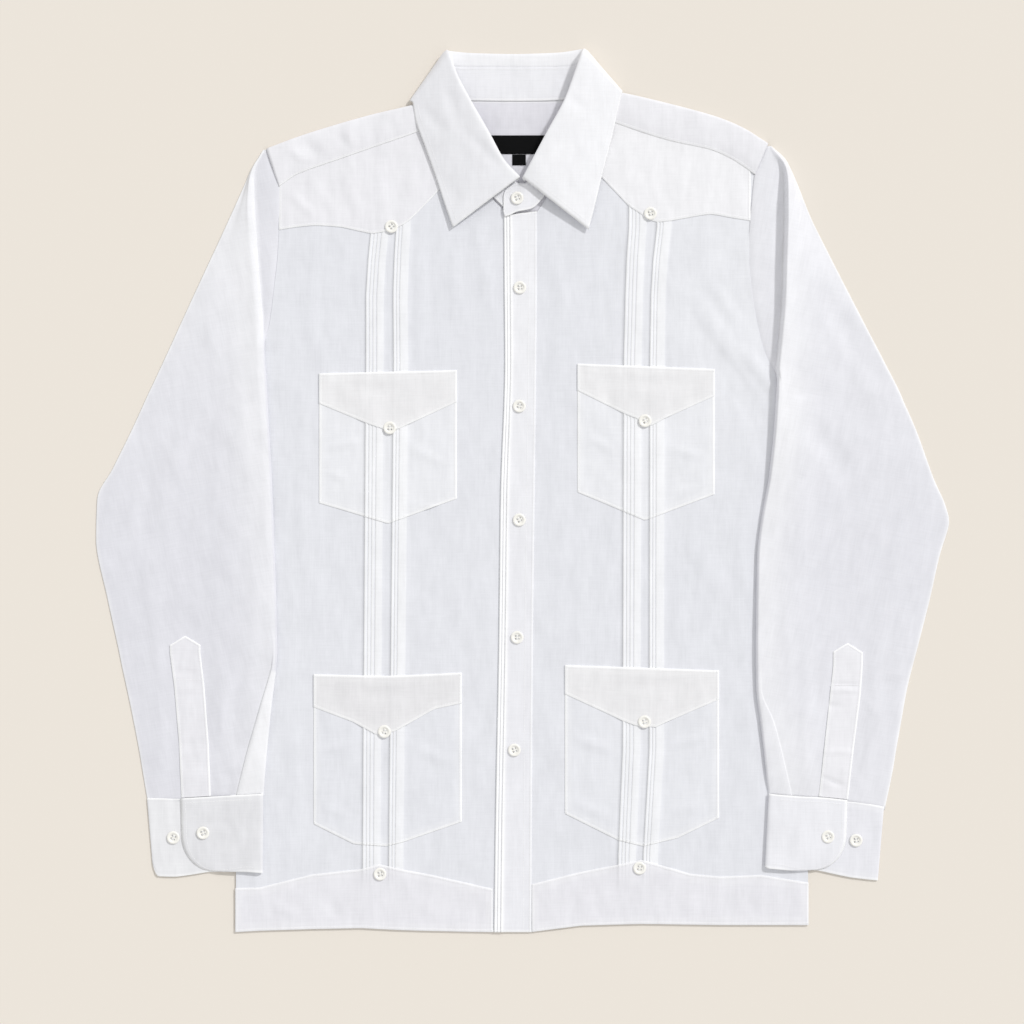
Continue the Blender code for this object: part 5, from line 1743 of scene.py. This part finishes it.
@dataclass
class Labels:
    """The woven label inside the neck and the size tab below it, both bare."""

    finishes: Finishes
    fronts: Fronts
    label: tuple[float, float, float, float] = (-30.0, 21.5, 309.3, 326.5)
    tab: tuple[float, float, float, float] = (-9.5, 3.0, 299.0, 308.9)

    def build(self) -> list[Array]:
        """Makes both labels, which have no stitching.

        Returns:
            No lines.
        """
        for name, node, box in (("woven_label", "neck_label", self.label),
                                ("woven_size_tab", "size_tab", self.tab)):
            left, right, low, top = box
            x, y = np.meshgrid(np.linspace(left, right, 24), np.linspace(low, top, 12))
            z = FRONT_Z - 0.3 + self.fronts.lift(x, y) + 0.25 * np.sin(x / 9.0)
            sheet = Sheet(np.stack([x, y, z], axis=2), np.zeros_like(x))
            piece = place_piece(sheet.object(name, self.finishes.label, wall=0.5), "label_black", node)
            declare(sheet, (right - left + 0.3, max(top - low, 10.1)))
        return []


@dataclass
class Buttons:
    """Eighteen four-holed buttons sewn on with crossed thread."""

    finishes: Finishes
    fronts: Fronts
    radius: float = 5.9
    seat: float = 0.1
    hole: float = 0.85
    spread: float = 1.35
    strand: float = 0.27
    places: dict[str, tuple[float, float, float, float]] = field(default_factory=lambda: {
        "button_collar": (-5.0, 268.5, 5.0, 20), "button_front_1": (-2.5, 186.5, 2.6, 5),
        "button_front_2": (-3.0, 77.5, 2.6, -12), "button_front_3": (-3.0, -27.0, 2.6, 30),
        "button_front_4": (-5.0, -135.0, 2.6, 0), "button_front_5": (-7.5, -238.5, 2.6, 18),
        "button_yoke_right": (-120.5, 242.5, 2.9, 40), "button_yoke_left": (117.5, 254.5, 2.9, 10),
        "button_pocket_chest_right": (-122.0, 57.5, 3.45, 0),
        "button_pocket_chest_left": (112.5, 64.0, 3.45, 25),
        "button_pocket_waist_right": (-127.0, -221.5, 3.45, -20),
        "button_pocket_waist_left": (112.0, -212.5, 3.45, 12),
        "button_hem_right": (-131.0, -352.5, 2.9, 8), "button_hem_left": (107.5, -347.0, 2.9, -8),
        "button_cuff_right_upper": (-293.5, -314.5, 4.4, 15),
        "button_cuff_right_under": (-321.0, -319.0, 2.4, -25),
        "button_cuff_left_upper": (280.5, -318.0, 4.2, 22), "button_cuff_left_under": (306.5, -321.5, 2.4, 6),
    })
    profile: tuple[Pair, ...] = (
        (0.0, 0.85), (0.5, 0.85), (0.56, 0.9), (0.6, 1.3), (0.68, 1.64), (0.78, 1.75), (0.88, 1.7), (0.95, 1.5),
        (0.99, 1.2), (1.0, 0.95), (0.97, 0.6), (0.85, 0.2), (0.6, 0.0), (0.0, 0.0),
    )

    def blank(self) -> bpy.types.Mesh:
        """The turned button with its holes cut through.

        Returns:
            Its mesh, in metres, standing on the origin.
        """
        shape = bmesh.new()
        points = [shape.verts.new((r * self.radius * MM, 0, z * MM)) for r, z in self.profile]
        edges = [shape.edges.new(pair) for pair in zip(points, points[1:])]
        bmesh.ops.spin(shape, geom=points + edges, axis=(0, 0, 1), cent=(0, 0, 0), angle=2 * math.pi, steps=40,
                       use_merge=True)
        bmesh.ops.remove_doubles(shape, verts=shape.verts, dist=1e-6)
        bmesh.ops.recalc_face_normals(shape, faces=shape.faces)
        for face in shape.faces:
            face.smooth = True
        disc = bpy.data.meshes.new("button_disc")
        shape.to_mesh(disc)
        shape.free()
        cut = bmesh.new()
        for across in (-1, 1):
            for along in (-1, 1):
                made = bmesh.ops.create_cone(cut, cap_ends=True, segments=12, radius1=self.hole * MM,
                                             radius2=self.hole * MM, depth=12 * MM)
                place = (across * self.spread * MM, along * self.spread * MM, 0)
                bmesh.ops.translate(cut, verts=made["verts"], vec=place)
        holes = bpy.data.meshes.new("button_holes")
        cut.to_mesh(holes)
        cut.free()
        blank, tool = (new_object(mesh.name, mesh) for mesh in (disc, holes))
        carve = blank.modifiers.new("Holes", "BOOLEAN")
        carve.operation = "DIFFERENCE"
        carve.object = tool
        result = finished_mesh(blank)
        for thing in (blank, tool):
            bpy.data.objects.remove(thing)
        return result

    def thread(self) -> bmesh.types.BMesh:
        """Two strands of thread through each pair of holes.

        Returns:
            The strands' mesh, still open for editing.
        """
        shape = bmesh.new()
        for along in (-1, 1):
            for beside in (-0.28, 0.28):
                made = bmesh.ops.create_cone(shape, cap_ends=True, segments=6, radius1=self.strand * MM,
                                             radius2=self.strand * MM, depth=2 * self.spread * MM)
                bmesh.ops.rotate(shape, verts=made["verts"], cent=(0, 0, 0),
                                 matrix=Matrix.Rotation(math.pi / 2, 3, "Y"))
                place = (0, (along * self.spread + beside) * MM, 1.0 * MM)
                bmesh.ops.translate(shape, verts=made["verts"], vec=place)
        return shape

    def build(self) -> list[Array]:
        """Makes every button in its place.

        Returns:
            No lines.
        """
        blank = self.blank()
        for name, (x, y, z, turn) in self.places.items():
            shape = self.thread()
            for face in shape.faces:
                face.material_index = 1
                face.smooth = True
            shape.from_mesh(blank)
            bmesh.ops.rotate(shape, verts=shape.verts, cent=(0, 0, 0),
                             matrix=Matrix.Rotation(math.radians(turn), 3, "Z"))
            lift = float(self.fronts.lift(np.array(x), np.array(y)))
            bmesh.ops.translate(shape, verts=shape.verts, vec=(x * MM, y * MM, (z + lift + self.seat) * MM))
            mesh = bpy.data.meshes.new(f"sewn_{name}")
            shape.to_mesh(mesh)
            shape.free()
            mesh.materials.append(self.finishes.pearl)
            mesh.materials.append(self.finishes.thread)
            place_piece(new_object(mesh.name, mesh), "button_pearl", name)
        return []


@dataclass
class Stitching:
    """Topstitching: one small length of thread after another along every seam line, laid by geometry nodes."""

    finishes: Finishes
    pitch: float = 2.6
    length: float = 1.95
    radius: float = 0.2
    seed: int = 7

    def tree(self) -> bpy.types.NodeTree:
        """The node tree that lays stitches along lines.

        Returns:
            The tree, with inputs for the pitch, length and radius of a stitch and the seed of its unevenness.
        """
        tree = bpy.data.node_groups.new("stitch_lines", "GeometryNodeTree")
        face = tree.interface
        face.new_socket("Lines", in_out="INPUT", socket_type="NodeSocketGeometry")
        for name in ("Pitch", "Length", "Radius"):
            face.new_socket(name, in_out="INPUT", socket_type="NodeSocketFloat")
        face.new_socket("Seed", in_out="INPUT", socket_type="NodeSocketInt")
        face.new_socket("Stitches", in_out="OUTPUT", socket_type="NodeSocketGeometry")
        given = add_node(tree, "NodeGroupInput").outputs
        curve = add_node(tree, "GeometryNodeMeshToCurve", {"Mesh": given["Lines"]}).outputs[0]
        places = add_node(tree, "GeometryNodeCurveToPoints", {"Curve": curve, "Length": given["Pitch"]},
                          mode="LENGTH")
        stitch = add_node(tree, "GeometryNodeMeshCylinder", {
            "Vertices": 6, "Radius": given["Radius"], "Depth": given["Length"]}).outputs["Mesh"]
        uneven = add_node(tree, "FunctionNodeRandomValue", {2: 0.8, 3: 1.15, "Seed": given["Seed"]},
                          data_type="FLOAT")
        scale = add_node(tree, "ShaderNodeCombineXYZ", {"X": 1.0, "Y": 1.0, "Z": uneven.outputs[1]}).outputs[0]
        laid = add_node(tree, "GeometryNodeInstanceOnPoints", {
            "Points": places.outputs["Points"], "Instance": stitch, "Rotation": places.outputs["Rotation"],
            "Scale": scale}).outputs[0]
        real = add_node(tree, "GeometryNodeRealizeInstances", {"Geometry": laid}).outputs[0]
        sewn = add_node(tree, "GeometryNodeSetMaterial", {"Geometry": real, "Material": self.finishes.thread})
        add_node(tree, "NodeGroupOutput", {"Stitches": sewn.outputs[0]})
        return tree

    def build(self, lines: list[Array]) -> None:
        """Makes all the topstitching as one piece.

        Args:
            lines: The lines it runs along, in millimetres.
        """
        mesh = bpy.data.meshes.new("seam_lines")
        points, edges = [], []
        for line in lines:
            edges += [(len(points) + i, len(points) + i + 1) for i in range(len(line) - 1)]
            points += (line * MM).tolist()
        mesh.from_pydata(points, edges, [])
        seams = new_object("seam_lines", mesh)
        sew = seams.modifiers.new("Sew", "NODES")
        sew.node_group = self.tree()
        sizes = {"Pitch": self.pitch * MM, "Length": self.length * MM, "Radius": self.radius * MM,
                 "Seed": self.seed}
        for item in sew.node_group.interface.items_tree:
            if item.name in sizes:
                sew[item.identifier] = sizes[item.name]
        sewn = finished_mesh(seams)
        bpy.data.objects.remove(seams)
        sewn.name = "topstitching"
        place_piece(new_object("topstitching", sewn), None)


# ---- stage


@dataclass
class Studio:
    """The pale floor, the soft light and the camera straight above."""

    floor: str = "#ece5db"
    floor_reach: float = 24.0
    clip_end: float = 120.0
    centre: Pair = (-9.7, -19.8)
    view: float = 942.0
    lens: float = 110.0
    sensor: float = 36.0
    key_strength: float = 1.62
    key_size: float = 5.0
    key_height: float = 40.0
    key_heading: float = 45.0
    fill: float = 0.67

    def build(self) -> None:
        """Makes the floor, the lights and the camera."""
        scene = bpy.context.scene
        scene.view_settings.view_transform = "Standard"
        mesh = bpy.data.meshes.new("floor")
        size = self.floor_reach
        corners = [(-size, -size, 0), (size, -size, 0), (size, size, 0), (-size, size, 0)]
        mesh.from_pydata(corners, [], [(0, 1, 2, 3)])
        # Warm, pale, matt paper with a grain too fine to see as a pattern
        material, tree, shader = new_material("matt_paper")
        place = add_node(tree, "ShaderNodeTexCoord").outputs["Object"]
        grain = add_node(tree, "ShaderNodeTexNoise", {"Vector": place, "Scale": 900.0, "Detail": 4.0})
        bump = add_node(tree, "ShaderNodeBump", {
            "Height": grain.outputs["Fac"], "Strength": 0.05, "Distance": 0.1 * MM})
        tree.links.new(bump.outputs[0], shader.inputs["Normal"])
        shader.inputs["Base Color"].default_value = to_linear(self.floor)
        shader.inputs["Roughness"].default_value = 0.95
        shader.inputs["Specular IOR Level"].default_value = 0.1
        mesh.materials.append(material)
        new_object("floor", mesh)
        world = bpy.data.worlds.new("soft_studio")
        world.use_nodes = True
        background = world.node_tree.nodes["Background"]
        background.inputs["Color"].default_value = (1.0, 1.0, 1.0, 1.0)
        background.inputs["Strength"].default_value = self.fill
        scene.world = world
        sun = bpy.data.lights.new("key", "SUN")
        sun.energy, sun.angle = self.key_strength, math.radians(self.key_size)
        key = new_object("key", sun)
        key.rotation_euler = (math.radians(90 - self.key_height), 0, math.radians(180 - self.key_heading))
        lens = bpy.data.cameras.new("camera")
        lens.lens, lens.sensor_width, lens.clip_end = self.lens, self.sensor, self.clip_end
        camera = new_object("camera", lens)
        away = self.view * MM * self.lens / self.sensor
        camera.location = (self.centre[0] * MM, self.centre[1] * MM, away)
        scene.camera = camera


def sleeve_right(finishes: Finishes, fronts: Fronts) -> Sleeve:
    """The wearer's right sleeve.

    Args:
        finishes: The shirt's finishes.
        fronts: The fronts it lies over.

    Returns:
        The sleeve.
    """
    return Sleeve(
        finishes, fronts, Side.RIGHT,
        head=(
            Head(313, -238.4, -237.4, -237.2, -237, 2.2, 2.2, 2.3),
            Head(305, -243.7, -241.6, -240.8, -237, 2.8, 2.2, 2.6),
            Head(296, -249.3, -246.4, -245.4, -235, 3.6, 1.8, 2.9),
            Head(284, -254.5, -247.6, -246.6, -234, 4.8, 1.5, 3),
            Head(262, -264.3, -246.8, -245.8, -232.5, 5.6, 1.4, 2.9),
            Head(233, -277.5, -245, -244, -232, 6, 1.3, 2.5),
            Head(190, -297.5, -242, -241, -233.6, 6.1, 1.4, 2.2),
            Head(152, -315, -239.2, -238.2, -235.8, 6.2, 1.8, 2),
        ),
        arm=(
            Arm(130, -325, -237.2, -237.2, -240, 6.8, 6.8), Arm(102, -338, -235.5, -235.5, -252, 6.8, 6.8),
            Arm(88, -344.7, -234.6, -234.6, -259.8, 6.7, 6.7),
            Arm(81.5, -347.6, -234.3, -234.3, -266.7, 6.6, 6.6),
            Arm(55.5, -359.5, -233, -233, -277.5, 6.6, 6.6), Arm(20, -377, -231, -231, -277.5, 6.4, 6.4),
            Arm(-8.5, -391.3, -229.8, -229.8, -277.5, 6.2, 6.2),
            Arm(-45.5, -392.3, -228.4, -228.4, -277.5, 6, 6),
            Arm(-100.5, -381.5, -226.5, -226.5, -277.5, 6, 6),
            Arm(-148, -371.2, -225.5, -226, -277.5, 5.9, 6),
            Arm(-160, -368.8, -226.2, -229.6, -277.5, 5.2, 6.2),
            Arm(-200, -360.2, -231, -240.7, -277.5, 4.6, 6.4),
            Arm(-240, -352.4, -235, -252.2, -277.5, 4.4, 6.2),
            Arm(-278.2, -344.9, -238.5, -262.9, -277.5, 4.4, 5.6),
        ),
        end=(Point(-345, -282.6), Point(-314.5, -282.6), Point(-238.5, -278.2)),
        placket=(Span(-133.5, -311, -309), Span(-142, -324, -296), Span(-174, -320, -292.3),
                 Span(-230, -315.5, -288.3), Span(-279, -313.5, -286.5)),
        folds=(
            Fold(-262, -160, -264, -240, 8, -1.2), Fold(-274, -158, -277, -240, 8, 1.3),
            Fold(-249, -160, -253, -186, 6, 0.9), Fold(-246, -60, -250, -180, 9, 0.9),
            Fold(-280, -262, -256, -258, 6, -0.8), Fold(-280, -250, -262, -280, 6, -0.5),
            Fold(-280, -110, -282, -240, 9, 1), Fold(-300, 90, -340, -40, 16, 1.4),
            Fold(-345, -60, -330, -200, 12, 1), Fold(-262, 150, -258, 20, 12, 0.7),
            Fold(-350, 20, -372, -60, 12, 0.8), Fold(-336, -150, -330, -270, 9, 0.8),
            Fold(-356, -110, -346, -220, 8, 0.7), Fold(-280, 180, -300, 60, 12, 0.5),
        ),
        painted_light_along=((-280, -160, 60, 150, 300), (0.1, 0.2, 0.35, 0.3, 0.1)),
        placket_folds=(Fold(-322, -166, -296, -168, 5, -0.6), Fold(-320, -182, -292, -182, 7, 0.6),
                       Fold(-318, -236, -288, -230, 9, -0.6), Fold(-316, -262, -286, -262, 9, 0.5)),
        white=((-280, -60, 100, 220), (0.0, 0.0, 0.12, 0.4)),
        round=0.6,
        strip_white=0.55,
        white_under=0.2,
    )


def sleeve_left(finishes: Finishes, fronts: Fronts) -> Sleeve:
    """The wearer's left sleeve.

    Args:
        finishes: The shirt's finishes.
        fronts: The fronts it lies over.

    Returns:
        The sleeve.
    """
    return Sleeve(
        finishes, fronts, Side.LEFT,
        head=(
            Head(316.5, 228.8, 227.4, 227, 226.6, 2.8, 2.6, 2.6),
            Head(312, 234.2, 229.8, 228.2, 226.4, 4, 3.2, 3), Head(305, 241.6, 235.5, 232, 226, 6, 3.6, 3.2),
            Head(297, 246, 240, 238, 227.5, 8.5, 2.2, 3), Head(282, 252.7, 242, 240.6, 227.4, 12.5, 1.3, 2.9),
            Head(252, 264.6, 242, 240.6, 227.8, 14.8, 1.2, 2.8),
            Head(217, 281.8, 241, 239.6, 228.6, 15, 1.2, 2.8),
            Head(181, 300.2, 240, 238.6, 229.8, 14.6, 1.4, 2.8),
            Head(150, 316.2, 237.8, 236.4, 231.2, 13.8, 1.8, 2.8),
            Head(122, 330.8, 235.2, 234, 231, 12.8, 2.6, 2.9),
            Head(112, 335.9, 234.4, 233.4, 231.8, 12.2, 4.6, 3.2),
        ),
        arm=(
            Arm(102, 341.2, 234, 234, 237.4, 12, 12), Arm(88, 348, 233.1, 233.1, 247.4, 11.8, 11.8),
            Arm(81.5, 350.6, 232.7, 232.7, 265.7, 11.6, 11.6), Arm(55.5, 362, 231, 231, 276.5, 11, 11),
            Arm(9.5, 378.7, 226, 226, 276.5, 8.5, 8.5), Arm(-13.5, 388.8, 221.8, 221.8, 276.5, 7.2, 7.2),
            Arm(-29, 392.3, 219.2, 219.2, 276.5, 6.8, 6.8), Arm(-60.5, 383.5, 215.8, 215.8, 276.5, 6.6, 6.6),
            Arm(-100.5, 374.5, 215, 215, 276.5, 7.2, 7.2), Arm(-146.5, 362.8, 214.5, 214.5, 276.5, 7.6, 7.6),
            Arm(-181, 354, 215, 216.2, 276.5, 6.8, 7), Arm(-213, 348.2, 218.9, 230, 276.5, 6, 6.5),
            Arm(-247, 341.8, 222.8, 239.2, 276.5, 5.6, 6.1), Arm(-278.2, 333, 226.5, 247.3, 276.5, 5, 5.5),
        ),
        end=(Point(226.5, -278.1), Point(273.5, -281.5), Point(298.5, -284), Point(333, -290.8)),
        placket=(Span(-140, 297.5, 299.5), Span(-148.5, 285.5, 312.5), Span(-179, 282.4, 310.5),
                 Span(-230, 277.2, 304.5), Span(-281, 272, 298.8)),
        folds=(
            Fold(272, 190, 334, 88, 17, -2.4), Fold(256, 70, 306, 6, 18, -2),
            Fold(330, -130, 318, -268, 12, 1.1), Fold(262, 60, 250, -110, 14, 1.2),
            Fold(352, -20, 330, -120, 12, 1.2), Fold(262, -140, 258, -270, 9, 0.9),
            Fold(300, 160, 330, 60, 14, 0.7), Fold(352, -110, 340, -240, 9, 0.8),
            Fold(280, 40, 290, -60, 14, 0.6), Fold(246, -60, 242, -170, 8, 0.7),
            Fold(309, -186, 336, -220, 4, 0.9), Fold(328, -177, 347, -177, 5, -0.9),
            Fold(300, -255, 322, -275, 6, 0.8), Fold(246, -120, 256, -146, 5, -0.8),
        ),
        painted_light_along=((-280, -160, 60, 150, 300), (0.25, 0.3, 0.45, 0.3, 0.0)),
        placket_folds=(Fold(280, -177.5, 312, -178.5, 2.6, -0.9), Fold(280, -184, 312, -184, 3, 0.9),
                       Fold(276, -197, 296, -199, 5, -0.8), Fold(274, -240, 306, -240, 5, 0.7),
                       Fold(272, -262, 298, -273, 4, -1.1)),
        white=((-280, -60, 100, 220), (0.15, 0.05, 0.15, 0.22)),
    )


def cuffs(finishes: Finishes) -> list[Cuff]:
    """Both cuffs.

    Args:
        finishes: The shirt's finishes.

    Returns:
        The right one, then the left one.
    """
    right = (
        Turn(-314.5, -312.5, -283, -349, 3), Turn(-290, -288, -281.5, -350, 4.4),
        Turn(-265, -262, -280, -350, 5.3), Turn(-241.5, -241.5, -278.7, -351, 6),
        Turn(-238.5, -239, -278.5, -351, 4.6), Turn(-241.5, -241.5, -278.7, -351, 3.1),
        Turn(-264.4, -264.4, -280, -350.5, 3.1), Turn(-278, -278, -281, -350.5, 0.5),
        Turn(-310, -308, -283, -352, 0.5), Turn(-342.8, -335, -283, -354.5, 0.5),
        Turn(-345, -340, -283, -343, 1.15), Turn(-342.8, -335, -283, -354.5, 1.8),
        Turn(-322, -320, -283, -355, 1.9), Turn(-284, -282, -282, -349.6, 1.9),
    )
    left = (
        Turn(298.5, 296.5, -284.5, -348, 3.5), Turn(275, 273, -282, -349, 4.5),
        Turn(255, 252, -281, -348.7, 5.6), Turn(229.5, 226, -278.8, -347, 6.4),
        Turn(226.5, 223, -278.5, -345.5, 4.8), Turn(229.5, 226, -278.8, -347, 3.1),
        Turn(264, 264, -281.5, -348.7, 3.1), Turn(278, 278, -282.5, -349.5, 0.5),
        Turn(305, 303, -286, -355, 0.5), Turn(330, 324.5, -290.5, -358.3, 0.5),
        Turn(332, 326.3, -291, -358.5, 1.15), Turn(330, 324.5, -290.5, -358.3, 1.8),
        Turn(308, 304, -286.5, -356, 1.9), Turn(270, 268, -282, -348.5, 1.9),
    )
    right_folds = (Fold(-252, -290, -258, -346, 7, -1), Fold(-262, -300, -254, -340, 6, 0.8),
                   Fold(-298, -306, -270, -304, 7, -0.7), Fold(-290, -338, -262, -330, 8, 0.5))
    left_folds = (Fold(246, -284, 240, -344, 7, -0.7), Fold(264, -290, 262, -340, 8, -0.6))
    # Painted shade on the wearer's right cuff through its darker finish; painted light on the left one, which is
    # whiter
    return [Cuff(finishes, finishes.cuff, Side.RIGHT, right, right_folds),
            Cuff(finishes, finishes.stiff, Side.LEFT, left, left_folds, white=0.14, white_under=0.0)]


def main() -> None:
    """Builds the shirt, piece by piece, and the studio round it."""
    logging.basicConfig(level=logging.INFO, format="%(name)s %(message)s")
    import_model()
    Studio().build()
    finishes = Finishes()
    fronts = Fronts(finishes)
    lines: list[Array] = []
    for part in (Yokes(finishes, fronts), fronts, Placket(finishes, fronts), HemBands(finishes, fronts),
                 Pockets(finishes, fronts), sleeve_right(finishes, fronts), sleeve_left(finishes, fronts),
                 *cuffs(finishes), Collar(finishes), Labels(finishes, fronts), Buttons(finishes, fronts)):
        lines += part.build()
    Stitching(finishes).build(lines)


if __name__ == "__main__":
    main()
